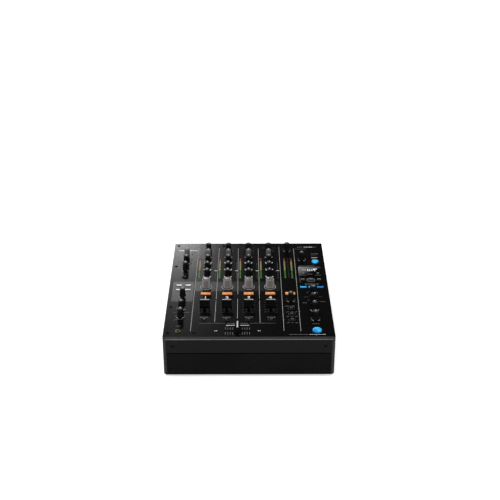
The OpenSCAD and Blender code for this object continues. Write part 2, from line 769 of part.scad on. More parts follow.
// Output socket: a round well with three pins
module xlr_plug() {
    difference() {
        xlr_shell(xlr_depth);
        translate([0, 0, -deck_t - well_depth]) cylinder(d = xlr_bore, h = 40, $fn = 48);
        xlr_holes();
    }
    for (a = [90, 210, 330]) rotate([0, 0, a]) translate([pin_ring, 0, -deck_t - well_depth - eps])
        cylinder(d = 2.4, h = 9, $fn = 20);
}

combo_depth = 20;
combo_groove = [17.4, 21];
contact_ring = 6;

// Combined microphone socket: a jack bore inside three contact holes
module combo_socket() {
    difference() {
        xlr_shell(combo_depth);
        difference() {
            translate([0, 0, xlr_t - 1.6]) cylinder(d = combo_groove[1], h = 3, $fn = 48);
            translate([0, 0, xlr_t - 1.7]) cylinder(d = combo_groove[0], h = 1.5, $fn = 48);
        }
        translate([0, 0, -deck_t - combo_depth + 2]) cylinder(d = jack_bore, h = 40, $fn = 32);
        for (a = [90, 210, 330]) rotate([0, 0, a]) translate([contact_ring, 0, -9])
            cylinder(d = 2.6, h = 30, $fn = 20);
        xlr_holes();
    }
}

module line_sockets() {
    color([0.14, 0.14, 0.15]) {
        for (p = JACKS) at_rear(p) jack_socket();
        at_xlrs() xlr_plug();
        at_rear(COMBO) combo_socket();
    }
}

jack_flange = 0.5;
jack_rise = 1;
jack_depth = 26;
mini_depth = 13;

module phones_sockets() {
    color([0.75, 0.6, 0.3]) {
        at_deck([jack_x, jack_row], z_deck) difference() {
            rotate_extrude($fn = 48) polygon([[0, -deck_t - jack_depth], [8, -deck_t - jack_depth],
                [8, -deck_t], [jack_body / 2, -deck_t], [jack_body / 2, 0], [jack_body / 2 + jack_flange, 0],
                [jack_body / 2 + jack_flange, jack_rise - 0.4], [jack_body / 2 + 0.1, jack_rise],
                [0, jack_rise]]);
            translate([0, 0, -deck_t - jack_depth + 2]) cylinder(d = jack_bore, h = 40, $fn = 32);
            translate([0, 0, jack_rise - 0.6])
                cylinder(d1 = jack_bore, d2 = jack_bore + 1.5, h = 0.75, $fn = 32);
        }
        at_deck([jack_x, mini_row], z_deck) difference() {
            rotate_extrude($fn = 40) polygon([[0, -deck_t - mini_depth], [5, -deck_t - mini_depth],
                [5, -deck_t], [mini_body / 2, -deck_t], [mini_body / 2, 0.3],
                [mini_body / 2 - 0.6, 0.6], [0, 0.6]]);
            translate([0, 0, -deck_t - mini_depth + 1]) cylinder(d = mini_bore, h = 30, $fn = 32);
        }
    }
}

usb_depth = 13.8;
usb_wall = 0.4;
usb_tongue = [11.2, 1.6, 10];
usb_b = [12, 11, 14];
// Outline of the socket's mouth, with its two upper corners cut
USB_B_MOUTH = [[-4.2, -3.9], [4.2, -3.9], [4.2, 2.2], [2.6, 3.9], [-2.6, 3.9], [-4.2, 2.2]];

module usb_sockets() {
    color([0.7, 0.7, 0.72]) {
        at_deck(usb_at, z_deck) {
            difference() {
                slab(usb_w, usb_d, usb_depth + 0.2, 0.6, -usb_depth);
                slab(usb_w - 2 * usb_wall, usb_d - 2 * usb_wall, usb_depth, 0.4, 1.8 - usb_depth);
            }
            translate([-usb_tongue[0] / 2, 0.2, 1.8 - usb_depth - eps]) cube(usb_tongue);
        }
        at_rear(usb_b_at, -usb_b[2]) {
            difference() {
                slab(usb_b[0], usb_b[1], usb_b[2] + 0.4, 0.6);
                translate([0, 0, 2]) linear_extrude(usb_b[2]) polygon(USB_B_MOUTH);
            }
            translate([-2.8, -1.6, 2 - eps]) cube([5.6, 3.2, 9]);
        }
    }
}

// ---- Rotary controls ----

// The shaft below a knob, from its cap down into the bush
module shaft() {
    top = knob_gap + 3;
    bottom = deck_t + board_drop - pot_h + shaft_depth - 0.5;
    translate([0, 0, -bottom]) cylinder(d = shaft_dia, h = bottom + top, $fn = 32);
}

// Flutes cut round a grip of the given radius
module flutes(n, r, z0, z1) {
    for (i = [0 : n - 1]) rotate([0, 0, 360 * (i + 0.5) / n]) translate([r, 0, z0])
        cylinder(r = flute_r, h = z1 - z0, $fn = 16);
}

// Slot for the pointer line over the top and down the front of a knob
module pointer_slot(r_top, h, drop) {
    translate([-0.6, r_top * 0.25, h - 0.4]) cube([1.2, r_top, 1]);
    translate([-0.6, r_top - 0.35, h - drop]) cube([1.2, 2, drop + 1]);
}

// Standard knob: a skirt and a fluted taper
module knob(turn = 0, n = 14) {
    r = knob_dia / 2;
    h = knob_h;
    rotate([0, 0, turn]) {
        difference() {
            rotate_extrude($fn = 48) polygon([[0, knob_gap], [r, knob_gap], [r, knob_gap + 1],
                [r - 0.4, knob_gap + 2], [r - 0.6, knob_gap + 2.6], [r - 1, h - 0.9], [r - 1.7, h], [0, h]]);
            flutes(n, r - 0.35, knob_gap + 3, h + 1);
            pointer_slot(r - 1.4, h, h * 0.55);
        }
        shaft();
    }
}

// Colour effect knob: a straight turned barrel with a bevelled top
module color_knob_shape(turn = 0) {
    r = color_dia / 2;
    h = color_h;
    rotate([0, 0, turn]) {
        difference() {
            rotate_extrude($fn = 64) polygon([[0, knob_gap], [r, knob_gap], [r, knob_gap + 1.6],
                [r - 0.5, knob_gap + 2], [r - 0.9, h - 1.4], [r - 2, h - 0.2], [r - 2.6, h],
                [r - 3.2, h - 0.4], [0, h - 0.4]]);
            pointer_slot(r - 1.4, h, h * 0.6);
        }
        shaft();
    }
}

module rotary(p) {
    at_deck(p, z_deck) children();
}

black = [0.08, 0.08, 0.085];
module source_selector(c) { color(black) rotary([ch_x(c), selector_row]) knob(30, 10); }
module trim_knob(c) { color([0.42, 0.42, 0.43]) rotary([ch_x(c), trim_row]) knob(); }
module high_knob(c) { color(black) rotary([ch_x(c), high_row]) knob(); }
module mid_knob(c) { color(black) rotary([ch_x(c), mid_row]) knob(); }
module low_knob(c) { color(black) rotary([ch_x(c), low_row]) knob(); }
module color_knob(c) { color([0.72, 0.72, 0.72]) rotary([ch_x(c), color_row]) color_knob_shape(); }
module mic_level_knob() { color([0.42, 0.42, 0.43]) rotary([left_x, mic_rows[0]]) knob(); }
module mic_high_knob() { color(black) rotary([left_x, mic_rows[1]]) knob(); }
module mic_low_knob() { color(black) rotary([left_x, mic_rows[2]]) knob(); }
module parameter_knob() { color(black) rotary([left_x, param_row]) knob(); }
module phones_mix_knob() { color(black) rotary([left_x, phones_rows[0]]) knob(); }
module phones_level_knob() { color(black) rotary([left_x, phones_rows[1]]) knob(); }
module master_level_knob() { color(black) rotary([master_x, level_row]) knob(); }
module booth_level_knob() { color(black) rotary([master_x, booth_row]) knob(); }
module send_knob() { color(black) rotary(send_at) knob(); }
module effect_selector() { color(black) rotary([right_x, effect_rows[0]]) knob(-120, 10); }
module channel_selector() { color(black) rotary([right_x, effect_rows[1]]) knob(-60, 10); }
module time_knob() { color(black) rotary([right_x, effect_rows[2]]) knob(0, 18); }
module depth_knob() { color(black) rotary([right_x, effect_rows[3]]) knob(); }

// ---- Faders ----

// The lever and the carriage that runs on the guide rods, both along Y
module fader_lever() {
    difference() {
        union() {
            translate([-lever_t / 2, -lever_d / 2, -deck_t - rod_drop])
                cube([lever_t, lever_d, deck_t + rod_drop + cap_gap + 3]);
            translate([-carriage_w / 2, -carriage_d / 2, -deck_t - rod_drop - carriage_h / 2])
                cube([carriage_w, carriage_d, carriage_h]);
        }
        for (s = [-1, 1]) translate([s * rod_spread / 2, 0, -deck_t - rod_drop]) rotate([90, 0, 0])
            cylinder(d = rod_dia + 2 * rod_gap, h = carriage_d + 2, center = true, $fn = 24);
    }
}

// Fader cap: flared foot, hollowed slopes and a flat ridge with a groove for its line.
// w runs across the travel and d along it.
module fader_cap(w, d, h) {
    half = [[d / 2, cap_gap], [d / 2, cap_gap + 2], [d * 0.38, h * 0.42], [ridge_w / 2 + 0.5, h * 0.78],
        [ridge_w / 2, h - 0.5], [ridge_w / 2 - 0.4, h], [ridge_w / 2 - 1.1, h], [ridge_w / 2 - 1.1, h - 0.4]];
    n = len(half);
    difference() {
        rotate([90, 0, 90]) translate([0, 0, -w / 2]) linear_extrude(w)
            polygon(concat(half, [for (i = [1 : n]) [-half[n - i][0], half[n - i][1]]]));
        for (s = [-1, 1]) translate([s * w / 2, 0, h]) rotate([0, s * 45, 0]) translate([0, 0, 0.25])
            cube([3, d, 1.2], center = true);
    }
}

module channel_fader(c) {
    color(black) at_deck([ch_x(c), fader_row], z_deck) {
        fader_cap(cap_w, cap_d, cap_h);
        fader_lever();
    }
}

module crossfader() {
    color(black) at_deck([cross_x, cross_row], z_deck) rotate([0, 0, 90]) {
        fader_cap(cross_d, cross_w, cap_h);
        fader_lever();
    }
}

// ---- Buttons and switches ----

flange_t = 1;
button_flange = 0.6;
// The stem below a button, which slides in its switch
module stem() {
    top = deck_t + 1;
    free = button_travel + 0.8;
    bottom = deck_t + board_drop - switch_h + stem_hole_h - free;
    translate([0, 0, -bottom]) cylinder(d = stem_dia, h = bottom - top + flange_t, $fn = 24);
}

module pad(w, d, h = button_h) {
    slab(w, d, deck_t + h - 0.5 + 0.6, 1.2, -deck_t - 0.6);
    slab(w - 1, d - 1, 0.5 + eps, 0.9, h - 0.5 - eps);
    slab(w + 2 * button_flange, d + 2 * button_flange, flange_t, 1.2, -deck_t - 0.4 - flange_t);
    stem();
}

module round_pad(dia, h) {
    r = dia / 2;
    lip = r + button_flange;
    rotate_extrude($fn = 48) polygon([[0, -deck_t - 0.4 - flange_t], [lip, -deck_t - 0.4 - flange_t],
        [lip, -deck_t - 0.4], [r, -deck_t - 0.4], [r, h * 0.45], [r * 0.94, h * 0.7], [r * 0.7, h * 0.92],
        [r * 0.35, h], [0, h]]);
    stem();
}

module cue_buttons() {
    color([0.95, 0.55, 0.25]) for (p = CUES) at_deck(p, z_deck) pad(p[2], p[3]);
}

module effect_buttons() {
    color([0.3, 0.65, 0.95]) {
        for (p = PADS) at_deck(p, z_deck) pad(p[2], p[3]);
        for (p = ROUNDS) at_deck(p, z_deck) round_pad(p[2], p[3]);
    }
}

module slide_switches() {
    color([0.2, 0.2, 0.2]) for (p = SWITCHES) at_deck(p, z_deck) {
        translate([-nub_w / 2, -nub_d / 2, -deck_t - 1.5]) cube([nub_w, nub_d, deck_t + 1.5 + nub_h - 0.8]);
        for (k = [-1 : 1]) translate([k * 1.6 - 0.4, -nub_d / 2, nub_h - 0.8 - eps]) cube([0.8, nub_d, 0.8]);
        translate([-5, -nub_d / 2, -deck_t - slider_drop]) cube([10, nub_d, slider_drop - 1.4]);
    }
}

module power_button() {
    color([0.1, 0.1, 0.1]) at_rear(power_at) {
        slab(power_w, power_h, deck_t + 5 + 3.5, 1, -deck_t - 5);
        slab(power_w + 2 * power_skirt, power_h + 2 * power_skirt, 1.4, 1, -deck_t - 5);
    }
}

base_tray();
top_panel();
front_panel();
rear_panel();
feet();
panel_screws();
fader_tracks();
control_board();
power_supply();
clear_windows();
rca_sockets();
line_sockets();
phones_sockets();
usb_sockets();
for (c = [1 : channels]) source_selector(c);
for (c = [1 : channels]) trim_knob(c);
for (c = [1 : channels]) high_knob(c);
for (c = [1 : channels]) mid_knob(c);
for (c = [1 : channels]) low_knob(c);
for (c = [1 : channels]) color_knob(c);
for (c = [1 : channels]) channel_fader(c);
crossfader();
mic_level_knob();
mic_high_knob();
mic_low_knob();
parameter_knob();
phones_mix_knob();
phones_level_knob();
master_level_knob();
booth_level_knob();
send_knob();
effect_selector();
channel_selector();
time_knob();
depth_knob();
cue_buttons();
effect_buttons();
slide_switches();
power_button();
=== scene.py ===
"""Looks of a four-channel DJ mixer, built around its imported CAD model.

Lengths are written in millimetres and turned into metres with MM. Places come from the frame: each
control's place is the middle of its CAD node, and rows are distances from the deck's front face.
"""
import json
import math
import random

import bmesh
import bpy
from mathutils import Matrix, Vector


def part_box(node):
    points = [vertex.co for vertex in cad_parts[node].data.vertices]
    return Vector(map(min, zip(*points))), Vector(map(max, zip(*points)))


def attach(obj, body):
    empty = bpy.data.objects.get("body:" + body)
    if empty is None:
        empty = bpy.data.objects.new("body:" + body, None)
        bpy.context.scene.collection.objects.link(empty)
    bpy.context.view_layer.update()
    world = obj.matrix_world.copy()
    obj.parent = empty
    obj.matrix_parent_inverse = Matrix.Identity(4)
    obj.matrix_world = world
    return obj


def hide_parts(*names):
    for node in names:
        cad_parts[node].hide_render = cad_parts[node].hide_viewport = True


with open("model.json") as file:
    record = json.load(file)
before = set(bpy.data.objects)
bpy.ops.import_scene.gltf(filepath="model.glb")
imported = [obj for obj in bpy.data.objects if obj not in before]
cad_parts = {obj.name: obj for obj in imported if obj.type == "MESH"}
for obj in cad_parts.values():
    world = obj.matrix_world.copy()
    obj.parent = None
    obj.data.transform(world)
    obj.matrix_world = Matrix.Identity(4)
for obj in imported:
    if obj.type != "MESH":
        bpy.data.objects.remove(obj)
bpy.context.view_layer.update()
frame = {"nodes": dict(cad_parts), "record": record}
NODES = frame["nodes"]
MM = 0.001
CHASSIS = "chassis"
scene = bpy.context.scene
draw = random.Random(7)


# ---- Places taken from the frame, in millimetres ----

def node_box(node):
    """Lowest and highest corner of a CAD node."""
    low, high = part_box(node)
    return low / MM, high / MM


def middle(node):
    """Middle of a CAD node seen from above."""
    low, high = node_box(node)
    return (low.x + high.x) / 2, (low.y + high.y) / 2


FRONT = node_box("top_panel")[0].y
DECK = node_box("top_panel")[1].z
CHANNELS = [middle(f"channel_fader_{n}")[0] for n in range(1, 5)]
PITCH = CHANNELS[1] - CHANNELS[0]
FADER_Y = middle("channel_fader_1")[1]
CUE_Y = middle("cue_buttons")[1]
LEFT = middle("mic_level_knob")[0]
MASTER = middle("master_level_knob")[0]
RIGHT = middle("time_knob")[0]
CROSS_X = middle("crossfader")[0]
PANEL_Y = node_box("rear_panel")[1].y
SLOTS = {part["node"]: part["material_slot"] for part in frame["record"]["subparts"]}


def row(distance):
    """Y of a row at the given distance from the deck's front face."""
    return FRONT + distance


# Small buttons: colour effects, bands, beats, tap, send and effect on/off
TINTS = [(LEFT + side * 9.2, row(r)) for r in (197, 179.2) for side in (-1, 1)]
BANDS = [(RIGHT + side * 17.2, row(189.8)) for side in (-1, 0, 1)]
BEATS = [(RIGHT + side * 16.7, row(219.4)) for side in (-1, 1)]
TAP = (RIGHT, row(219.4))
SEND_ON = (RIGHT + 13.4, row(297.6))
ON_OFF = (RIGHT, row(24.4))


# ---- Materials ----

MATERIALS = {}


def srgb(*levels):
    """Linear colour from sRGB levels of 0 to 255."""
    shares = [level / 255 for level in levels]
    return tuple(v / 12.92 if v <= 0.04045 else ((v + 0.055) / 1.055) ** 2.4 for v in shares)


def shade(color, factor):
    """A colour times a factor."""
    return tuple(level * factor for level in color)


def add_node(tree, kind, inputs=None, **values):
    """A new node with its own values and those of its sockets set."""
    made = tree.nodes.new(kind)
    for key, value in values.items():
        setattr(made, key, value)
    for key, value in (inputs or {}).items():
        made.inputs[key].default_value = value
    return made


class Paint:
    """A principled material and short ways to add nodes to it."""

    def __init__(self, name, color, rough, metal, spec, coat=0.0, coat_rough=0.1):
        self.mat = bpy.data.materials.new(name)
        self.mat.use_nodes = True
        self.tree = self.mat.node_tree
        self.shader = self.tree.nodes["Principled BSDF"]
        self.set("Base Color", (*color, 1))
        self.set("Roughness", rough)
        self.set("Metallic", metal)
        self.set("Specular IOR Level", spec)
        self.set("Coat Weight", coat)
        self.set("Coat Roughness", coat_rough)
        self.mat.diffuse_color = (*color, 1)
        MATERIALS[name] = self.mat

    def set(self, socket, value):
        self.shader.inputs[socket].default_value = value

    def node(self, kind, inputs=None, **values):
        return add_node(self.tree, kind, inputs, **values)

    def link(self, a, b):
        self.tree.links.new(a, b)

    def split(self, kind, output):
        """The three parts of a vector that a node gives."""
        parts = self.node("ShaderNodeSeparateXYZ")
        self.link(self.node(kind).outputs[output], parts.inputs[0])
        return parts.outputs

    def noise(self, scale, stretch=(1, 1, 1), detail=3.0):
        """Noise over the object's own coordinates, finer along an axis with a larger stretch."""
        place = self.node("ShaderNodeTexCoord")
        mapping = self.node("ShaderNodeMapping", {"Scale": stretch})
        values = {"Scale": scale, "Detail": detail, "Roughness": 0.55}
        noise = self.node("ShaderNodeTexNoise", values)
        self.link(place.outputs["Object"], mapping.inputs["Vector"])
        self.link(mapping.outputs["Vector"], noise.inputs["Vector"])
        return noise.outputs["Fac"]

    def ramp(self, value, low, high, start=0.35, end=0.65):
        """Map a value from start..end to a colour between low and high."""
        ramp = self.node("ShaderNodeValToRGB")
        first, last = ramp.color_ramp.elements
        first.position, first.color = start, (*low, 1)
        last.position, last.color = end, (*high, 1)
        self.link(value, ramp.inputs["Fac"])
        return ramp.outputs["Color"]

    def vary_color(self, value, low, high, start=0.35, end=0.65):
        self.link(self.ramp(value, low, high, start, end), self.shader.inputs["Base Color"])

    def vary_rough(self, value, low, high):
        self.link(self.ramp(value, (low,) * 3, (high,) * 3), self.shader.inputs["Roughness"])

    def bump(self, value, strength, depth):
        """Bump of the given depth in millimetres."""
        bump = self.node("ShaderNodeBump", {"Strength": strength, "Distance": depth * MM})
        self.link(value, bump.inputs["Height"])
        self.link(bump.outputs["Normal"], self.shader.inputs["Normal"])


def metal_sheet(name, color, rough, spec):
    """Black sheet metal with a fine hairline grain along X."""
    paint = Paint(name, color, rough, 0.0, spec)
    grain = paint.noise(40, (1.2, 45, 45), 4)
    paint.vary_color(paint.noise(9, detail=5), shade(color, 0.82), shade(color, 1.2))
    paint.vary_rough(grain, rough - 0.015, rough + 0.02)
    paint.bump(grain, 0.03, 0.02)


def textured_paint(name, color, rough=0.55, spec=0.35):
    """Powder coat: small grains on a matt ground."""
    paint = Paint(name, color, rough, 0.0, spec)
    grains = paint.noise(1400, detail=2)
    paint.vary_color(paint.noise(14, detail=4), shade(color, 0.8), shade(color, 1.25))
    paint.vary_rough(grains, rough - 0.08, rough + 0.1)
    paint.bump(grains, 0.35, 0.12)


def moulded(name, color, rough=0.5, spec=0.4):
    """Moulded plastic or rubber with a fine spark texture."""
    paint = Paint(name, color, rough, 0.0, spec)
    grains = paint.noise(2600, detail=2)
    paint.vary_color(paint.noise(60, detail=4), shade(color, 0.85), shade(color, 1.18))
    paint.vary_rough(grains, rough - 0.07, rough + 0.08)
    paint.bump(grains, 0.22, 0.05)


def worked_metal(name, color, rough):
    """Bare metal with tool marks."""
    paint = Paint(name, color, rough, 1.0, 0.5)
    marks = paint.noise(260, (1, 1, 60), 3)
    paint.vary_color(paint.noise(50, detail=3), shade(color, 0.86), color)
    paint.vary_rough(marks, rough - 0.06, rough + 0.1)
    paint.bump(marks, 0.12, 0.02)


def side_lit(name, front, side):
    """Satin silver knob body with a painted highlight where it turns to the sides."""
    paint = Paint(name, front, 0.42, 0.0, 0.3)
    turn = paint.node("ShaderNodeMath", operation="ABSOLUTE")
    paint.link(paint.split("ShaderNodeNewGeometry", "Normal")["X"], turn.inputs[0])
    paint.vary_color(turn.outputs[0], front, side, 0.45, 0.85)


def lamp(name, low, high, strength, body=0.5):
    """Lit translucent plastic: the light is uneven over each cap and falls off down its sides."""
    paint = Paint(name, high, 0.35, 0.0, 0.3)
    cloud = paint.noise(150, detail=1)
    paint.link(paint.ramp(cloud, low, high, 0.36, 0.64), paint.shader.inputs["Emission Color"])
    paint.vary_color(cloud, shade(low, body), shade(high, body), 0.36, 0.64)
    facing = paint.node("ShaderNodeMapRange",
                        {"From Min": 0.2, "To Min": strength * 0.15, "To Max": strength})
    paint.link(paint.split("ShaderNodeNewGeometry", "Normal")["Z"], facing.inputs["Value"])
    paint.link(facing.outputs[0], paint.shader.inputs["Emission Strength"])
    paint.bump(paint.noise(2200, detail=2), 0.1, 0.04)


def print_ink(name, color):
    """Screen-printed ink with a slightly uneven edge and tone."""
    paint = Paint(name, color, 0.5, 0.0, 0.3)
    cloud = paint.noise(900, detail=2)
    paint.vary_color(cloud, shade(color, 0.82), color, 0.3, 0.6)
    paint.bump(cloud, 0.15, 0.02)


def display_glass():
    """Glass whose colour carries a painted reflection, light at its back left corner."""
    lens = Paint("display_glass", (0.006, 0.006, 0.007), 0.12, 0.0, 0.1)
    place = lens.split("ShaderNodeTexCoord", "Generated")
    across = lens.node("ShaderNodeMath", {1: 0.47, 2: 0.53}, operation="MULTIPLY_ADD")
    sheen = lens.node("ShaderNodeMath", {1: -0.53}, operation="MULTIPLY_ADD")
    lens.link(place["X"], across.inputs[0])
    lens.link(place["Y"], sheen.inputs[0])
    lens.link(across.outputs[0], sheen.inputs[2])
    # Painted reflection: the base colour is light at the back left and dark towards the front right
    lens.vary_color(sheen.outputs[0], (0.30, 0.30, 0.30), (0.002, 0.002, 0.002), 0, 0.55)


def make_materials():
    """Every finish; those named as a slot of the record also dress that slot's nodes."""
    metal_sheet("deck_black", (0.0022, 0.0022, 0.0023), 0.2, 0.15)
    metal_sheet("front_black", (0.0050, 0.0050, 0.0053), 0.40, 0.04)
    metal_sheet("zone_grey", (0.0048, 0.0048, 0.005), 0.25, 0.45)
    textured_paint("tray_black", (0.006, 0.006, 0.0063))
    textured_paint("rear_black", (0.008, 0.008, 0.0085))
    textured_paint("screw_black", (0.0025, 0.0025, 0.0026), 0.45, 0.08)
    moulded("foot_rubber", (0.012, 0.012, 0.012), 0.75, 0.25)
    moulded("supply_black", (0.012, 0.012, 0.012), 0.45)
    moulded("socket_black", (0.012, 0.012, 0.0125), 0.4)
    moulded("knob_black", (0.0042, 0.0042, 0.0046), 0.5, 0.15)
    moulded("knob_grey", (0.12, 0.12, 0.124), 0.42, 0.4)
    moulded("fader_black", (0.0018, 0.0018, 0.002), 0.5, 0.06)
    moulded("switch_grey", (0.03, 0.03, 0.03), 0.45)
    moulded("power_black", (0.01, 0.01, 0.01), 0.4)
    moulded("board_green", (0.01, 0.06, 0.025), 0.35)
    # Grey of the front bevel's fold line: a painted highlight
    moulded("fold_black", (0.11, 0.11, 0.11), 0.4, 0.2)
    # Black ink, also used for the painted shade ring at each colour knob's base
    moulded("print_black", (0.0015, 0.0015, 0.0015), 0.85, 0.02)
    moulded("button_dark", (0.012, 0.012, 0.013), 0.35)
    moulded("ridge_grey", srgb(122, 122, 122), 0.4)
    moulded("cross_grey", srgb(168, 168, 168), 0.4)
    moulded("grey_top", (0.16, 0.16, 0.163), 0.36, 0.4)
    # Dark grey caps on the black knobs: a painted sheen in place of their tops' reflection
    moulded("black_top", (0.062, 0.062, 0.063), 0.34, 0.4)
    moulded("pointer_black", (0.006, 0.006, 0.006), 0.4)
    moulded("phono_red", srgb(190, 30, 30), 0.4)
    moulded("phono_white", srgb(220, 220, 215), 0.4)
    moulded("phono_orange", srgb(225, 120, 30), 0.4)
    worked_metal("track_steel", (0.5, 0.5, 0.52), 0.38)
    worked_metal("phono_metal", (0.72, 0.70, 0.66), 0.26)
    worked_metal("usb_steel", (0.6, 0.6, 0.62), 0.3)
    worked_metal("gold_metal", (0.60, 0.50, 0.21), 0.32)
    worked_metal("silver_top", (0.62, 0.62, 0.63), 0.3)
    # Colour knob bodies: their lighter sides are a painted highlight
    side_lit("knob_silver", (0.165, 0.155, 0.15), (0.38, 0.37, 0.36))
    print_ink("print_white", srgb(235, 235, 235))
    print_ink("print_silver", srgb(190, 190, 190))
    print_ink("print_grey", srgb(150, 150, 150))
    print_ink("print_mid", srgb(120, 120, 120))
    print_ink("print_dim", srgb(82, 82, 82))
    print_ink("print_olive", srgb(66, 68, 22))
    print_ink("print_lip", srgb(56, 56, 58))
    lamp("led_green", srgb(55, 120, 35), srgb(80, 150, 50), 0.52, body=0.12)
    lamp("led_yellow", srgb(145, 135, 80), srgb(175, 165, 100), 0.7, body=0.12)
    lamp("led_orange", srgb(150, 105, 65), srgb(175, 125, 80), 0.5, body=0.12)
    lamp("led_red", srgb(125, 35, 50), srgb(160, 60, 75), 0.5, body=0.12)
    lamp("cue_orange", srgb(225, 128, 72), srgb(250, 178, 112), 0.58, body=0.38)
    lamp("effect_blue", srgb(30, 130, 205), srgb(62, 195, 255), 0.82, body=0.4)
    lamp("lit_white", srgb(205, 205, 205), srgb(230, 230, 230), 0.85, body=0.35)
    lamp("display_white", srgb(200, 205, 210), srgb(250, 250, 255), 0.8)
    display_glass()
    smoke = Paint("window_smoke", (0.004, 0.004, 0.0045), 0.08, 0.0, 0.5, 0.6, 0.03)
    smoke.vary_rough(smoke.noise(30), 0.05, 0.12)


def dress_nodes():
    """Give every CAD node its finish from the record's slot."""
    for name, slot in SLOTS.items():
        if slot in MATERIALS:
            dress(NODES[name].data, slot)


def dress(mesh, *names):
    """Put named finishes in place of a mesh's own."""
    mesh.materials.clear()
    for name in names:
        mesh.materials.append(MATERIALS[name])


def dress_phones_sockets():
    """Gold lip on the large phones jack, a dark one on the small jack, black inside both."""
    node = NODES["phones_sockets"]
    dress(node.data, "socket_black", "gold_metal", "print_lip")
    lip_low, between = DECK + 0.7, row(31)
    for polygon in node.data.polygons:
        at = node.matrix_world @ polygon.center / MM
        lip = at.z > lip_low and polygon.normal.z > 0.9
        polygon.material_index = (1 if at.y < between else 2) if lip else 0


# ---- Closed meshes made in millimetres ----

# Size of a font's em over the height of its numerals
DIGIT_EM = 1.37
# Thickness of printed ink
INK = 0.05
ARC_STEPS = 24


def polar(x, y, radius, degrees):
    """The point at a distance and an angle from another."""
    angle = math.radians(degrees)
    return x + radius * math.cos(angle), y + radius * math.sin(angle)


def circle(x, y, radius, count):
    """Points of a circle, anticlockwise."""
    return [polar(x, y, radius, 360 * i / count) for i in range(count)]


def rounded(x, y, w, d, radius, count=5):
    """Points of a rectangle with round corners, from its middle, anticlockwise."""
    points = []
    for quarter, (sx, sy) in enumerate([(1, 1), (-1, 1), (-1, -1), (1, -1)]):
        for i in range(count + 1):
            angle = math.radians(90 * quarter + 90 * i / count)
            points.append((x + sx * (w / 2 - radius) + radius * math.cos(angle),
                           y + sy * (d / 2 - radius) + radius * math.sin(angle)))
    return points


def arc(x, y, radius, start, end):
    """Points on a circle between two angles in degrees, measured anticlockwise from +X."""
    step = (end - start) / ARC_STEPS
    return [polar(x, y, radius, start + step * i) for i in range(ARC_STEPS + 1)]


def box_outline(x0, x1, y0, y1):
    """Corners of a rectangle, anticlockwise."""
    return [(x0, y0), (x1, y0), (x1, y1), (x0, y1)]


def at_height(outline, z):
    """Points of a flat outline at a height."""
    return [(*point, z) for point in outline]


def clean(mesh, merge):
    """Merge doubled vertices and turn the faces outwards."""
    work = bmesh.new()
    work.from_mesh(mesh)
    bmesh.ops.remove_doubles(work, verts=work.verts, dist=merge)
    bmesh.ops.recalc_face_normals(work, faces=work.faces)
    work.to_mesh(mesh)
    work.free()


def add_piece(name, mesh, body):
    """Put a mesh into the scene and let it ride on a body."""
    piece = bpy.data.objects.new(name, mesh)
    scene.collection.objects.link(piece)
    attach(piece, body)
    return piece


def on_deck(u, v, w):
    """Print plane of the deck: w is the height above it."""
    return u, v, DECK + w


def on_rear(u, v, w):
    """Print plane of the rear panel: u runs along X, v upwards and w out of the back."""
    return u, PANEL_Y + w, v


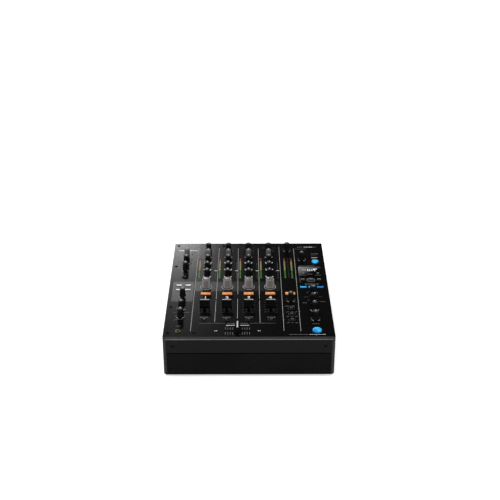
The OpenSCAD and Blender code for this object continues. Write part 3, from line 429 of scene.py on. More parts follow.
class Shape:
    """Closed solids in millimetres that become one mesh; place maps (u, v, w) into the model."""

    def __init__(self, place=lambda u, v, w: (u, v, w)):
        self.place = place
        self.points = []
        self.faces = []
        self.paints = []
        self.paint = 0

    def add_face(self, indices):
        self.faces.append(indices)
        self.paints.append(self.paint)

    def stack(self, rings):
        """Skin a stack of rings with equally many points, closed at its bottom and top."""
        start, count = len(self.points), len(rings[0])
        for ring in rings:
            self.points.extend(self.place(*point) for point in ring)
        self.add_face([start + i for i in reversed(range(count))])
        for k in range(len(rings) - 1):
            self.add_band(start + k * count, start + (k + 1) * count, count)
        last = start + (len(rings) - 1) * count
        self.add_face([last + i for i in range(count)])

    def add_band(self, low, high, count, closed=True):
        for i in range(count if closed else count - 1):
            j = (i + 1) % count
            self.add_face([low + i, low + j, high + j, high + i])

    def loop(self, rings, closed=True):
        """Skin rings that lead back to the first one, as round the wall of a tube."""
        start, count = len(self.points), len(rings[0])
        for ring in rings:
            self.points.extend(self.place(*point) for point in ring)
        for k in range(len(rings)):
            self.add_band(start + k * count, start + (k + 1) % len(rings) * count, count, closed)

    def prism(self, outline, low, high):
        self.stack([at_height(outline, low), at_height(outline, high)])

    def pillow(self, x, y, w, d, radius, low, high, bevel, crown):
        """A rounded block with a round upper edge and a slightly crowned top."""
        rings = [at_height(rounded(x, y, w, d, radius), low)]
        steps = 4
        for i in range(steps + 1):
            angle = math.radians(90 * i / steps)
            inset = bevel * (1 - math.cos(angle))
            z = high - crown - bevel + bevel * math.sin(angle)
            outline = rounded(x, y, w - 2 * inset, d - 2 * inset, radius - inset * 0.8)
            rings.append(at_height(outline, z))
        top_w, top_d, top_radius = w - 2 * bevel, d - 2 * bevel, radius - bevel * 0.8
        for share, rise in ((0.72, 0.6), (0.4, 0.92), (0.12, 1.0)):
            outline = rounded(x, y, top_w * share, top_d * share, top_radius * share)
            rings.append(at_height(outline, high - crown * (1 - rise)))
        self.stack(rings)

    def turned(self, x, y, profile, count=48):
        """A solid of revolution from [radius, height] points, bottom to top."""
        self.stack([at_height(circle(x, y, max(r, 0.02), count), z) for r, z in profile])

    def ring(self, x, y, section, count=64):
        """A closed [radius, height] section turned round a vertical axis."""
        self.loop([at_height(circle(x, y, r, count), z) for r, z in section])

    def ribbon(self, points, width, low, high, closed=False):
        """A flat line of the given width along points."""
        count = len(points)
        left, right = [], []
        for i, (x, y) in enumerate(points):
            before = points[i - 1] if closed or i > 0 else points[i]
            after = points[(i + 1) % count] if closed or i < count - 1 else points[i]
            dx, dy = after[0] - before[0], after[1] - before[1]
            size = math.hypot(dx, dy)
            nx, ny = -dy / size * width / 2, dx / size * width / 2
            left.append((x + nx, y + ny))
            right.append((x - nx, y - ny))
        start = len(self.points)
        sides = ((right, low), (right, high), (left, high), (left, low))
        self.loop([at_height(side, z) for side, z in sides], closed)
        if not closed:
            for end in (0, count - 1):
                self.add_face([start + k * count + end for k in range(4)])

    def dash(self, x0, x1, y, width, low=0.0, high=INK):
        """A straight line along X."""
        self.ribbon([(x0, y), (x1, y)], width, low, high)

    def digits(self, text, x, y, height, bold=0.0):
        """Printed numerals centred on a point; bold is how far their outline is moved outwards."""
        curve = bpy.data.curves.new("digits", "FONT")
        curve.body = text
        curve.align_x = "CENTER"
        curve.align_y = "CENTER"
        curve.size = height * DIGIT_EM
        curve.extrude = INK / 2
        curve.offset = bold
        curve.resolution_u = 4
        glyphs = bpy.data.objects.new("digits", curve)
        mesh = bpy.data.meshes.new_from_object(glyphs)
        start = len(self.points)
        for vertex in mesh.vertices:
            u, v, w = vertex.co
            self.points.append(self.place(x + u, y + v, w + INK / 2))
        for polygon in mesh.polygons:
            self.add_face([start + i for i in polygon.vertices])
        bpy.data.objects.remove(glyphs)
        bpy.data.curves.remove(curve)
        bpy.data.meshes.remove(mesh)

    def make(self, name, body, *materials, slot=None, sharp=38):
        """Build the mesh in metres, turn its faces outwards and let it ride on a body."""
        mesh = bpy.data.meshes.new(name)
        mesh.from_pydata([Vector(p) * MM for p in self.points], [], self.faces)
        for polygon, paint in zip(mesh.polygons, self.paints):
            polygon.material_index = paint
        clean(mesh, 1e-7)
        mesh.shade_smooth()
        mesh.set_sharp_from_angle(angle=math.radians(sharp))
        for material in materials:
            mesh.materials.append(MATERIALS[material])
        piece = add_piece(name, mesh, body)
        return piece


# ---- Prints on the deck ----

# Rows of the lighter ground behind the colour knobs, and where its left part ends
ZONE_ROWS = (173.4, 211.8)
LEFT_ZONE_FRONT = 133.2
ZONE_INK = INK * 0.6
# Hole that the ground leaves round a knob's shaft, and the gap that it keeps to what it goes round
SHAFT_HOLE = 9.6
ZONE_GAP = 0.45
# Width and depth of the colour effects' caps, and how much wider than a cap its hole is
TINT_CAP = (11, 4.4)
CAP_PLAY = 0.6
DIVIDER_WIDTH = 0.7
# Rows between which the dividers are broken
GAP_ROWS = (138.0, 142.6)
# Size of the deck's front bevel, and half the length of its lower fold
FRONT_BEVEL = 4
FOLD_HALF = 155.5


def plate(name, outlines, height, material):
    """A thin printed plate; outlines inside another one are left open."""
    curve = bpy.data.curves.new(name, "CURVE")
    curve.dimensions = "2D"
    curve.fill_mode = "BOTH"
    curve.extrude = height / 2 * MM
    for outline in outlines:
        spline = curve.splines.new("POLY")
        spline.points.add(len(outline) - 1)
        for point, (x, y) in zip(spline.points, outline):
            point.co = (x * MM, y * MM, 0, 1)
        spline.use_cyclic_u = True
    holder = bpy.data.objects.new(name + "_curve", curve)
    mesh = bpy.data.meshes.new_from_object(holder)
    mesh.transform(Matrix.Translation((0, 0, (DECK + height / 2) * MM)))
    mesh.name = name
    bpy.data.objects.remove(holder)
    bpy.data.curves.remove(curve)
    clean(mesh, 1e-6)
    dress(mesh, material)
    add_piece(name, mesh, CHASSIS)


def make_zones():
    """Lighter printed ground behind the colour knobs and the left column's effect section."""
    low, high = (row(r) for r in ZONE_ROWS)
    shaft = SHAFT_HOLE / 2 + ZONE_GAP
    holes = [circle(x, middle("color_knob_1")[1], shaft, 24) for x in CHANNELS]
    ground = box_outline(CHANNELS[0] - PITCH / 2, CHANNELS[3] + PITCH / 2 - 2, low, high)
    plate("color_ground", [ground, *holes], ZONE_INK, "zone_grey")
    wide, deep = (size + CAP_PLAY + 2 * ZONE_GAP for size in TINT_CAP)
    holes = [rounded(x, y, wide, deep, 1) for x, y in TINTS]
    holes.append(circle(LEFT, middle("parameter_knob")[1], shaft, 24))
    ground = box_outline(LEFT - 21.6, LEFT + 20.6, row(LEFT_ZONE_FRONT), high)
    plate("effect_ground", [ground, *holes], ZONE_INK, "zone_grey")


def make_dividers():
    """Long printed lines between the columns, each from [x, row] points."""
    lines = Shape(on_deck)
    for points in ([(-107.2, 369), (-108.2, 215), (-109.3, 24)],
                   [(-63.3, 361), (-64.3, GAP_ROWS[1])],
                   [(-64.4, GAP_ROWS[0]), (-65.1, 55)],
                   [(-22, 361), (-22, 161)],
                   [(-22, 143), (-22, 69)],
                   [(21, 360), (21, GAP_ROWS[1])],
                   [(21, GAP_ROWS[0]), (21, 54)],
                   [(66, 368), (65.6, 190), (65.3, 24)],
                   [(97.5, 360), (97.1, 190), (96.8, 23)]):
        lines.ribbon([(x, row(r)) for x, r in points], DIVIDER_WIDTH, 0, INK)
    lines.make("dividers", CHASSIS, "print_silver")


def make_fold():
    """Lighter strip along the lower fold of the deck's front bevel: a painted highlight on the
    black paint.
    """
    low, high, skin = -FRONT_BEVEL - 0.35, -FRONT_BEVEL + 0.75, 0.05
    section = [(FRONT + 0.3, low), (FRONT + 1.05, high), (FRONT + 0.75 - skin, high + skin),
               (FRONT - skin, -FRONT_BEVEL + skin), (FRONT - skin, low)]
    fold = Shape(lambda u, v, w: on_deck(w, u, v))
    fold.prism(section, -FOLD_HALF, FOLD_HALF)
    fold.make("front_fold_highlight", CHASSIS, "fold_black")


def knob_places():
    """Knob nodes with their places, apart from the colour knobs."""
    return {n: middle(n) for n in NODES if "knob" in n and not n.startswith("color_knob")}


def arcs(shape, x, y, radius, width, *spans):
    """Printed arcs, each between two angles."""
    for start, end in spans:
        shape.ribbon(arc(x, y, radius, start, end), width, 0, INK)


def dots(shape, place, angles):
    """Printed dots round a selector knob."""
    for angle in angles:
        shape.prism(circle(*polar(*place, 10.2, angle), 0.55, 12), 0, INK)


def make_scales():
    """Printed arcs, ticks and end marks round the knobs."""
    white, thin = Shape(on_deck), Shape(on_deck)
    for name, (x, y) in knob_places().items():
        if name.startswith(("high", "mid", "low")) and name[-1].isdigit():
            arcs(white, x, y, 7.0, 2.1, (174, 366))
            thin.ribbon([(x, y + 8), (x, y + 9.6)], 0.6, 0, INK)
        elif name.startswith("trim") or name == "mic_level_knob":
            arcs(thin, x, y, 7.8, 1.5, (186, 240), (-60, -6))
        elif name == "time_knob":
            arcs(thin, x, y, 8.4, 1.2, (190, 258), (282, 350))
        else:
            for k in range(11):
                angle, end = -60 + 30 * k, 10.4 if k % 5 == 0 else 9.4
                thin.ribbon([polar(x, y, 7.9, angle), polar(x, y, end, angle)], 0.7, 0, INK)
            arcs(thin, x, y, 8.6, 1.6, (205, 238), (-58, -25))
    for n in range(1, 5):
        dots(thin, middle(f"source_selector_{n}"), range(-120, 1, 30))
    for name, count in (("effect_selector", 14), ("channel_selector", 9)):
        dots(thin, middle(name), [180 - 300 * k / (count - 1) for k in range(count)])
    white.make("scale_arcs", CHASSIS, "print_white")
    thin.make("scale_ticks", CHASSIS, "print_grey")


# Travel of a fader, and the steps of its scale
FADER_TRAVEL = 45
FADER_STEPS = 10


def make_fader_scales():
    """Dashes on both sides of each fader's slot, and bars above and below the crossfader's."""
    thin, bars = Shape(on_deck), Shape(on_deck)
    offsets = [FADER_TRAVEL * (k / FADER_STEPS - 0.5) for k in range(FADER_STEPS + 1)]
    for x in CHANNELS:
        for side in (-1, 1):
            for k, offset in enumerate(offsets):
                reach = 13.0 if k % 2 == 0 else 7.0
                thin.dash(x + side * 2.8, x + side * reach, FADER_Y + offset, 0.6)
    for offset in offsets:
        if offset:
            for far, near in ((36.5, 28.5), (20.5, 11.5)):
                ends = [(CROSS_X + offset, row(far)), (CROSS_X + offset, row(near))]
                bars.ribbon(ends, 0.75, 0, INK)
    thin.make("fader_scales", CHASSIS, "print_dim")
    bars.make("crossfader_scale", CHASSIS, "print_mid")


def dash_row(shape, x, y, width, marks, height, gap=0.8):
    """A row of plain dashes of uneven length, centred on a point."""
    sizes = [draw.uniform(0.7, 1.5) for _ in range(marks)]
    scale = (width - gap * (marks - 1)) / sum(sizes)
    u = x - width / 2
    for size in sizes:
        shape.dash(u, u + size * scale, y, height)
        u += size * scale + gap


DASH_INKS = {"dim": "print_dim", "grey": "print_mid", "bright": "print_white",
             "black": "print_black", "olive": "print_olive"}


def legend_rows():
    """Rows of dashes in place of legends: ink, x, row, width, number of marks, height and gap."""
    rows = []
    for x in CHANNELS:
        rows += [("grey", x, 73.6, 16, 3, 1.8), ("dim", x, 339, 13, 3, 1.0),
                 ("dim", x - 11.2, 362.5, 6, 2, 1.0), ("dim", x + 11.2, 362.5, 6, 2, 1.0)]
    rows += [("grey", -114.7, 279.6, 5, 2, 1.4), ("grey", -126, 369, 16, 3, 1.0),
             ("dim", LEFT, 246.5, 18, 4, 0.9)]
    rows += [("black", x, y - FRONT + 6.2, 9.5, 3, 2.6, 0.6) for x, y in TINTS]
    rows += [("grey", -120.6, 91.8, 10.5, 2, 1.0), ("dim", -142.5, 91.8, 5, 1, 1.0),
             ("dim", -142, 63.3, 4, 1, 1.2), ("grey", -133.4, 66, 13, 3, 0.9),
             ("grey", -132.6, 40.6, 9.5, 3, 1.2)]
    for side in (-1, 1):
        rows += [("grey", CROSS_X + side * 12.5, 50.8, 14, 3, 1.2),
                 ("bright", CROSS_X + side * 13, 44, 17.5, 4, 1.6, 0.5),
                 ("bright", CROSS_X + side * 40.6, 24.6, 5.4, 2, 1.7)]
    rows += [("grey", MASTER - 3, 114.6, 20, 4, 1.3), ("grey", 111, 366, 11, 3, 2),
             ("bright", 129, 366, 18, 4, 2), ("grey", 143, 366, 8, 2, 1.6),
             ("dim", 112, 357, 26, 5, 1.6), ("bright", 140.3, 316.5, 12.5, 3, 1.8),
             ("dim", 122, 281, 32, 6, 1.6), ("grey", RIGHT + 1, 202, 28, 6, 2),
             ("dim", 113.1, 150, 8, 2, 1.2), ("dim", 142, 150, 8, 2, 1.2),
             ("grey", 109.5, 127, 8, 2, 1.2), ("grey", RIGHT, 49, 14, 3, 1.0),
             ("grey", 92, 11.4, 36, 4, 0.9, 0.7), ("bright", 127, 11.4, 30, 5, 0.9, 0.7)]
    return rows


def make_dashes():
    """Generic dashes where such a panel has its legends; no words are drawn."""
    inks = {name: Shape(on_deck) for name in DASH_INKS}
    for ink, x, r, *sizes in legend_rows():
        dash_row(inks[ink], x, row(r), *sizes)
    for x in CHANNELS:
        mark = x + 17.6
        inks["bright"].dash(mark - 3, mark + 3, row(259), 1.9)
        for near, far in ((224, 255), (263, 296)):
            inks["dim"].ribbon([(mark, row(near)), (mark, row(far))], 0.6, 0, INK)
    for ink, x0, x1, r, width in (("bright", -150.4, -137.5, 350, 3),
                                  ("bright", -127, -109.4, 350, 3),
                                  ("grey", -94.3, -45.5, 51.6, 0.6), ("grey", 2, 50, 51.6, 0.6),
                                  ("grey", 139, 150, 131.2, 0.8), ("olive", 134, 143.5, 334, 3),
                                  ("olive", 134, 142.5, 325, 2)):
        inks[ink].dash(x0, x1, row(r), width)
    for r in (330, 303, 290):
        inks["black"].ribbon([(-121.5, row(r)), (-119.8, row(r + 6))], 1.8, 0, INK)
    # Small curves beside the curve switches
    for r in (92.6, 75.4, 53):
        for k in (-1, 0, 1):
            x = MASTER + 8 * k
            points = [(x - 2.6, row(r - 1)), (x + (k - 1) * 0.9, row(r - 1 + abs(k) * 0.4)),
                      (x + 2.6, row(r + 2))]
            inks["grey"].ribbon(points, 0.8, 0, INK)
    for name, ink in DASH_INKS.items():
        inks[name].make(name + "_dashes", CHASSIS, ink)


def make_numbers():
    """Channel numbers on the deck."""
    numbers = Shape(on_deck)
    for n, x in enumerate(CHANNELS, 1):
        numbers.digits(str(n), x, row(148.4), 9, bold=0.35)
    numbers.make("channel_numbers", CHASSIS, "print_white")


def make_color_rings():
    """A light ring round each colour knob, and a black one inside it that is painted shade at the
    knob's base.
    """
    rings = Shape(on_deck)
    for n in range(1, 5):
        x, y = middle(f"color_knob_{n}")
        # The inner black ring is painted shade where the knob meets the deck
        for paint, inner, outer in ((0, 10.9, 11.9), (1, 9.3, 10.4)):
            rings.paint = paint
            rings.ring(x, y, [(inner, 0), (outer, 0), (outer, INK), (inner, INK)])
    rings.make("color_rings", CHASSIS, "print_silver", "print_black")


# ---- Windows ----

SEGMENTS = 15
METER_ROW = 271
METER_LEN = 91
# Distance of a meter from the middle of its column
METER_SIDE, MASTER_METER_SIDE = 17.2, 7.2
# Segments at which a meter turns yellow, orange and red
METER_LIMITS = (6, 12, 13)
LENS_TOP = node_box("clear_windows")[1].z - DECK
DISPLAY_TOP = 0.9


def make_meters():
    """Lit segments on the meters' windows, and the ticks beside them."""
    segments, ticks = Shape(on_deck), Shape(on_deck)
    channel_meters = [x - METER_SIDE for x in CHANNELS]
    channel_meters[0] += 0.8
    places = [*channel_meters, MASTER - MASTER_METER_SIDE, MASTER + MASTER_METER_SIDE]
    pitch = (METER_LEN - 2) / SEGMENTS
    bottom = row(METER_ROW) - (METER_LEN - 2) / 2
    for x in places:
        for k in range(SEGMENTS):
            segments.paint = sum(k >= limit for limit in METER_LIMITS)
            outline = rounded(x, bottom + pitch * (k + 0.5), 3.3, pitch - 1.5, 0.3, 2)
            segments.prism(outline, LENS_TOP, LENS_TOP + 0.12)
    for k in range(SEGMENTS):
        y = bottom + pitch * (k + 0.5)
        ticks.dash(MASTER - 1.6, MASTER + 1.6, y, 0.8)
        if k % 2 == 0:
            for x in channel_meters:
                ticks.dash(x + 4, x + 6, y, 0.6)
    segments.make("meter_segments", CHASSIS, "led_green", "led_yellow", "led_orange", "led_red")
    ticks.make("meter_ticks", CHASSIS, "print_dim")


def make_display():
    """Smoked lens with a painted reflection over the display window, and lit generic numerals and
    marks.
    """
    lens = Shape(on_deck)
    lens.pillow(RIGHT, row(253.4), 47.6, 43, 2, 0, DISPLAY_TOP, 0.5, 0.02)
    lens.make("display_lens", CHASSIS, "display_glass", slot="window_smoke")
    lit, grey, faint = Shape(on_deck), Shape(on_deck), Shape(on_deck)
    marks = [(grey, 110.8 + 2.1 * k, 112.5 + 2.1 * k, 260.4, 7) for k in range(4)]
    for k in range(3):
        marks += [(lit, 122.3 + 4.2 * k, 123.7 + 4.2 * k, 260.6, 8),
                  (lit, 121.7 + 4.2 * k, 124.3 + 4.2 * k, 257.4, 2.4)]
    marks += [(lit, 133.8, 142, 264, 3), (lit, 133.8, 138.4, 260.8, 2.8), (lit, 136.4, 138, 257, 4),
              (grey, 111.5, 115, 247, 2.4), (grey, 140.6, 145, 247, 2.4),
              (faint, 121, 131.5, 242.2, 2.6), (faint, 105.4, 119.5, 237.8, 2),
              (faint, 136.6, 148.6, 237.8, 2)]
    for shape, x0, x1, r, height in marks:
        shape.dash(x0, x1, row(r), height, DISPLAY_TOP, DISPLAY_TOP + INK)
    lit.make("display_numerals", CHASSIS, "display_white")
    grey.make("display_words", CHASSIS, "print_grey")
    faint.make("display_marks", CHASSIS, "print_dim")
    edge = Shape(on_deck)
    edge.ribbon([(104.2, row(231.4)), (104.6, row(208))], 1.8, 0, INK)
    edge.make("display_edge", CHASSIS, "print_lip")


# ---- Knobs ----

def turned_place(x, y, degrees):
    """Map that draws in a knob's own frame: +v is the pointer's direction."""
    c, s = math.cos(math.radians(degrees)), math.sin(math.radians(degrees))
    return lambda u, v, w: (x + c * u - s * v, y + s * u + c * v, w)


# Degrees that a selector's pointer is turned from straight back at rest, anticlockwise
POINTER_TURNS = {"effect_selector": -120, "channel_selector": -60,
                 **{f"source_selector_{n}": 30 for n in range(1, 5)}}
# Cap finish on a knob of each slot, and how far the colour knobs' caps lie below the rim
# Black knobs get a dark grey cap, which is a painted sheen
TOPS = {"knob_grey": "grey_top", "knob_black": "black_top"}
COLOR_SINK = 0.4


def make_knob_tops():
    """A turned cap let into each knob's top, and the pointer line that fills its slot."""
    for name in [n for n in NODES if "knob" in n or "_selector" in n]:
        low, high = node_box(name)
        radius, top = (high.x - low.x) / 2, high.z
        if name.startswith("color_knob"):
            top -= COLOR_SINK
            cap_r, reach = radius - 4.0, radius - 1.6
            finish, pointer = "silver_top", "pointer_black"
        else:
            cap_r, reach = radius - 2.0, radius - 1.5
            finish, pointer = TOPS[SLOTS[name]], "print_white"
        cap = Shape(turned_place(*middle(name), POINTER_TURNS.get(name, 0)))
        rise = 0.35
        cap.turned(0, 0, [(cap_r, top - 0.2), (cap_r, top + rise * 0.5), (cap_r - 0.35, top + rise),
                          (cap_r * 0.6, top + rise * 0.9), (0.05, top + rise * 0.82)])
        cap.paint = 1
        cap.prism(box_outline(-0.55, 0.55, cap_r * 0.15, reach), top - 0.3, top + rise + 0.08)
        cap.make("cap_" + name, name, finish, pointer, slot=SLOTS[name])


# ---- Faders and switches ----

def make_fader_ridges():
    """Light strip along each fader cap's ridge, with a thin white line on it."""
    for name in [f"channel_fader_{n}" for n in range(1, 5)] + ["crossfader"]:
        low, high = node_box(name)
        x, y = middle(name)
        if name == "crossfader":
            finish, w, d = "cross_grey", 3.2, high.y - low.y - 1.4
            line_w, line_d = 1.0, d - 1.2
        else:
            finish, w, d = "ridge_grey", high.x - low.x - 1.4, 3.8
            line_w, line_d = w - 1.2, 0.6
        strip, line = Shape(), Shape()
        strip.pillow(x, y, w, d, 0.9, high.z - 0.3, high.z + 0.2, 0.3, 0.08)
        strip.make("ridge_" + name, name, finish, slot="fader_black")
        outline = box_outline(x - line_w / 2, x + line_w / 2, y - line_d / 2, y + line_d / 2)
        line.prism(outline, high.z, high.z + 0.26)
        line.make("line_" + name, name, "print_white", slot="fader_black")


def make_switch_frames():
    """Raised black frames round the slide switches, and two light marks on each nub."""
    frames, marks = Shape(on_deck), Shape(on_deck)
    places = [(x, row(63.4)) for x in CHANNELS] + [(MASTER, row(r)) for r in (105, 83.7, 62.4)]
    places.append((LEFT, row(231.2)))
    nub_top = node_box("slide_switches")[1].z - DECK
    for x, y in places:
        outer, inner = rounded(x, y, 13.4, 8, 2.2), rounded(x, y, 11.6, 5.4, 1.0)
        section = ((outer, 0), (outer, 0.5), (inner, 0.7), (inner, 0))
        frames.loop([at_height(outline, z) for outline, z in section])
        for u in (x - 1.6, x + 1.6):
            marks.ribbon([(u, y - 1.5), (u, y + 1.5)], 0.7, nub_top, nub_top + 0.06)
    frames.make("switch_frames", CHASSIS, "socket_black", slot="socket_black")
    marks.make("switch_marks", "slide_switches", "print_grey", slot="switch_grey")


# ---- Buttons ----

BUTTON_H = 1.8
# Width and depth of the other rectangular caps, radius and height of the round ones
CUE_CAP, BAND_CAP, BEAT_CAP = (19.5, 8.8), (12.4, 6.4), (9, 6.5)
SEND_CAP, ON_OFF_CAP, TAP_CAP = (7.5, 3.0), (8.7, 4.0), (7.0, BUTTON_H)
# The flange that keeps a button in: its reach past the cap, its lower and upper face
FLANGE_REACH, FLANGE_LOW, FLANGE_HIGH = 0.6, -3.4, -2.4
STEM_R, STEM_LOW = 1.5, -12.0
# A domed cap's outline: shares of its radius and of its height
DOME = ((1, 0.38), (0.98, 0.55), (0.92, 0.72), (0.8, 0.85), (0.6, 0.94), (0.3, 0.99))


def stem(shape, x, y):
    """The stem below a button."""
    shape.prism(circle(x, y, STEM_R, 20), STEM_LOW, FLANGE_LOW + 0.2)


def push_button(shape, x, y, w, d):
    """Cap, retaining flange and stem of a push button."""
    shape.pillow(x, y, w, d, 1.3, -2.6, BUTTON_H, 0.7, 0.3)
    flange = rounded(x, y, w + 2 * FLANGE_REACH, d + 2 * FLANGE_REACH, 1.3)
    shape.prism(flange, FLANGE_LOW, FLANGE_HIGH)
    stem(shape, x, y)


def round_button(shape, x, y, r, high):
    """Domed round cap with its flange and stem."""
    lip = r + FLANGE_REACH
    flange = [(lip, FLANGE_LOW), (lip, FLANGE_HIGH), (r, FLANGE_HIGH)]
    dome = [(r * wide, high * up) for wide, up in DOME]
    shape.turned(x, y, [*flange, *dome, (0.1, high)], 64)
    stem(shape, x, y)


def make_buttons():
    """The lit caps, the dark ones, their legends and the ring round the tap button."""
    cues = Shape(on_deck)
    for x in [*CHANNELS, MASTER]:
        push_button(cues, x, CUE_Y, *CUE_CAP)
    piece = cues.make("cue_caps", "cue_buttons", "cue_orange", slot="cue_orange", sharp=60)
    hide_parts("cue_buttons")
    pads = Shape(on_deck)
    for x, y in BANDS:
        push_button(pads, x, y, *BAND_CAP)
    round_button(pads, *SEND_ON, *SEND_CAP)
    round_button(pads, *ON_OFF, *ON_OFF_CAP)
    pads.paint = 1
    for x, y in TINTS:
        push_button(pads, x, y, *TINT_CAP)
    pads.paint = 2
    for x, y in BEATS:
        push_button(pads, x, y, *BEAT_CAP)
    round_button(pads, *TAP, *TAP_CAP)
    piece = pads.make("effect_caps", "effect_buttons", "effect_blue", "lit_white", "button_dark",
                      slot="effect_blue", sharp=60)
    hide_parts("effect_buttons")
    legends = Shape(on_deck)
    top, high = BUTTON_H - 0.1, BUTTON_H + 0.05
    for x, y in BANDS:
        legends.dash(x - 4.9, x + 4.9, y + 1.1, 3, top, high)
    legends.paint = 1
    for x, y in [*BEATS, TAP]:
        legends.dash(x - 3.4, x + 3.4, y + 1, 2.2, top, high)
    legends.make("button_legends", "effect_buttons", "print_black", "print_grey",
                 slot="effect_blue")
    ring = Shape(on_deck)
    ring.ring(*TAP, [(7.7, 0), (8.7, 0), (8.7, INK), (7.7, INK)])
    ring.make("tap_ring", CHASSIS, "print_mid")


# ---- Sockets ----

# Heights of the input sockets' two rows, and each socket's distance from its channel's middle
PHONO_ROWS = (63.5, 48.5)
PHONO_SIDE = 7.6
# Height of the printed frames' middle, and their size upwards
FRAME_MIDDLE, FRAME_HEIGHT = 56, 32


def make_rear_details():
    """Coloured insulators in the phono sockets, frames round the inputs and their numbers."""
    insulators, marks = Shape(on_rear), Shape(on_rear)
    barrel = node_box("rca_sockets")[1].y - PANEL_Y
    master_x = MASTER - 16.5
    pairs = [x + side * PHONO_SIDE for x in CHANNELS for side in (-1, 1)] + [master_x]
    places = [(x, z, 1 - k) for k, z in enumerate(PHONO_ROWS) for x in pairs]
    places += [(MASTER + 22.5, 32.5, 1), (MASTER + 22.5, 17.5, 0), (CHANNELS[0] - 4, 25, 2)]
    section = [(1.75, barrel - 7.6), (3.1, barrel - 7.6), (3.1, barrel + 0.02), (2.9, barrel + 0.1),
               (1.95, barrel + 0.1), (1.75, barrel - 0.1)]
    for x, z, paint in places:
        insulators.paint = paint
        insulators.ring(x, z, section, 32)
    insulators.make("phono_insulators", CHASSIS, "phono_red", "phono_white", "phono_orange",
                    slot="phono_metal")
    for x, wide in [(x, 31) for x in CHANNELS] + [(master_x, 15)]:
        outline = rounded(x, FRAME_MIDDLE, wide, FRAME_HEIGHT, 2.5)
        marks.ribbon(outline, 0.5, 0, INK, closed=True)
    # Mirrored, so that the numbers read from behind
    numbers = Shape(lambda u, v, w: on_rear(-u, v, w))
    for n, x in enumerate(CHANNELS, 1):
        numbers.digits(str(n), -x, 76.4, 4.2)
    numbers.make("rear_numbers", CHASSIS, "print_mid")
    marks.make("rear_marks", CHASSIS, "print_mid")


# ---- Camera, lights and surroundings ----

CAMERA_AT = Vector((-4.7386, -1711.3531, 1054.863)) * MM
CAMERA_PITCH = 27.3144
CAMERA_YAW = 0.2445
# Focal length and picture width in pixels, and width of the sensor in millimetres
FOCAL = 973.348
PICTURE_WIDTH = 500
SENSOR = 36.0


def make_camera():
    """A camera in front of the mixer, looking down at its deck."""
    data = bpy.data.cameras.new("camera")
    data.sensor_width = SENSOR
    data.lens = FOCAL / PICTURE_WIDTH * SENSOR
    data.clip_start = 0.05
    data.clip_end = 60
    camera = bpy.data.objects.new("camera", data)
    camera.location = CAMERA_AT
    camera.rotation_euler = (math.radians(90 - CAMERA_PITCH), 0, math.radians(-CAMERA_YAW))
    scene.collection.objects.link(camera)
    scene.camera = camera


def area_light(name, at, to, size, power):
    """A rectangular softbox at a point, turned towards another, both in metres."""
    data = bpy.data.lights.new(name, "AREA")
    data.shape = "RECTANGLE"
    data.size, data.size_y = size
    data.energy = power
    light = bpy.data.objects.new(name, data)
    light.location = at
    light.rotation_euler = (Vector(to) - Vector(at)).to_track_quat("-Z", "Y").to_euler()
    scene.collection.objects.link(light)


def make_lights():
    """Key, fill, a strip over the front edge and a far one behind that shows in the deck."""
    area_light("key", (-1.2, -1.4, 2.4), (0, 0, 0.05), (1.4, 1.4), 34)
    area_light("fill", (1.7, -1.2, 1.5), (0, 0, 0.05), (1.2, 1.2), 8)
    area_light("front_strip", (0, -0.9, 1.25), (0, -0.19, 0.09), (1.6, 0.3), 5.5)
    area_light("left_rear", (-0.383, 2.933, 1.283), (-0.16, 0.19, 0.09), (0.28, 0.21), 5.4)


# Grey of the sky's soft light, and of its reflection at the horizon and overhead
SOFT = 0.42
HORIZON = 0.6
CEILING = 0.03
# Heights between which the reflected sky darkens
SKY_LOW, SKY_HIGH = 0.15, 0.36
# Half the floor's side in metres, and the strength of its own light
FLOOR_HALF = 14
FLOOR_GLOW = 0.62


def even(level):
    """An opaque grey."""
    return (level, level, level, 1)


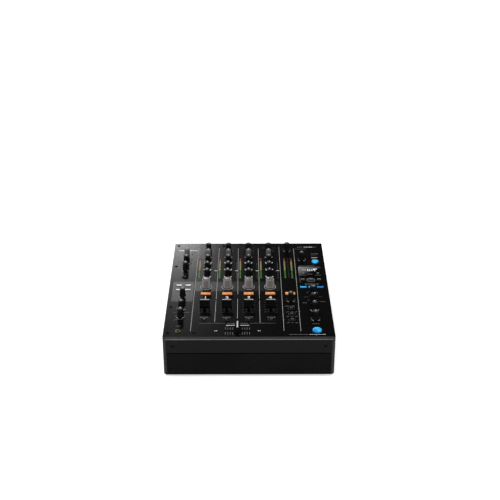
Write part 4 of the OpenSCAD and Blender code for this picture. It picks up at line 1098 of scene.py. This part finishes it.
def make_world():
    """White to the camera and through glass, darker upwards in reflections, soft grey light."""
    world = bpy.data.worlds.new("studio")
    scene.world = world
    world.use_nodes = True
    tree = world.node_tree
    tree.nodes.clear()
    path = add_node(tree, "ShaderNodeLightPath")
    place = add_node(tree, "ShaderNodeTexCoord")
    split = add_node(tree, "ShaderNodeSeparateXYZ")
    tree.links.new(place.outputs["Generated"], split.inputs[0])
    ramp = add_node(tree, "ShaderNodeValToRGB")
    low, high = ramp.color_ramp.elements
    low.position, low.color = SKY_LOW, even(HORIZON)
    high.position, high.color = SKY_HIGH, even(CEILING)
    tree.links.new(split.outputs["Z"], ramp.inputs["Fac"])
    soft, white = add_node(tree, "ShaderNodeRGB"), add_node(tree, "ShaderNodeRGB")
    soft.outputs[0].default_value = even(SOFT)
    white.outputs[0].default_value = even(1)
    last = soft.outputs[0]
    for ray, seen in (("Is Glossy Ray", ramp), ("Is Transmission Ray", white),
                      ("Is Camera Ray", white)):
        mix = add_node(tree, "ShaderNodeMix", data_type="RGBA")
        tree.links.new(path.outputs[ray], mix.inputs["Factor"])
        tree.links.new(last, mix.inputs["A"])
        tree.links.new(seen.outputs[0], mix.inputs["B"])
        last = mix.outputs["Result"]
    sky = add_node(tree, "ShaderNodeBackground")
    out = add_node(tree, "ShaderNodeOutputWorld")
    tree.links.new(last, sky.inputs["Color"])
    tree.links.new(sky.outputs[0], out.inputs["Surface"])


def floor_paint():
    """Matt white that also glows to the camera, and to no diffuse or glossy ray."""
    mat = bpy.data.materials.new("floor_white")
    mat.use_nodes = True
    tree = mat.node_tree
    tree.nodes.clear()
    matt = add_node(tree, "ShaderNodeBsdfDiffuse", {"Color": even(0.85)})
    plain = add_node(tree, "ShaderNodeEmission", {"Color": even(1)})
    path = add_node(tree, "ShaderNodeLightPath")
    mirrored = add_node(tree, "ShaderNodeMath", operation="MAXIMUM")
    seen = add_node(tree, "ShaderNodeMath", {0: 1.0}, operation="SUBTRACT")
    share = add_node(tree, "ShaderNodeMath", {1: FLOOR_GLOW}, operation="MULTIPLY")
    total = add_node(tree, "ShaderNodeAddShader")
    out = add_node(tree, "ShaderNodeOutputMaterial")
    tree.links.new(path.outputs["Is Diffuse Ray"], mirrored.inputs[0])
    tree.links.new(path.outputs["Is Glossy Ray"], mirrored.inputs[1])
    tree.links.new(mirrored.outputs[0], seen.inputs[1])
    tree.links.new(seen.outputs[0], share.inputs[0])
    tree.links.new(share.outputs[0], plain.inputs["Strength"])
    tree.links.new(matt.outputs[0], total.inputs[0])
    tree.links.new(plain.outputs[0], total.inputs[1])
    tree.links.new(total.outputs[0], out.inputs["Surface"])
    return mat


def make_floor():
    """A white floor that keeps a soft shadow close to the object."""
    mesh = bpy.data.meshes.new("floor")
    corners = box_outline(-FLOOR_HALF, FLOOR_HALF, -FLOOR_HALF, FLOOR_HALF)
    mesh.from_pydata(at_height(corners, 0), [], [(0, 1, 2, 3)])
    floor = bpy.data.objects.new("floor", mesh)
    scene.collection.objects.link(floor)
    floor.data.materials.append(floor_paint())


make_camera()
make_world()
make_lights()
make_floor()
make_materials()
dress_nodes()
dress_phones_sockets()
make_zones()
make_dividers()
make_fold()
make_scales()
make_fader_scales()
make_dashes()
make_numbers()
make_color_rings()
make_meters()
make_display()
make_knob_tops()
make_fader_ridges()
make_switch_frames()
make_buttons()
make_rear_details()
scene.view_settings.view_transform = "Standard"
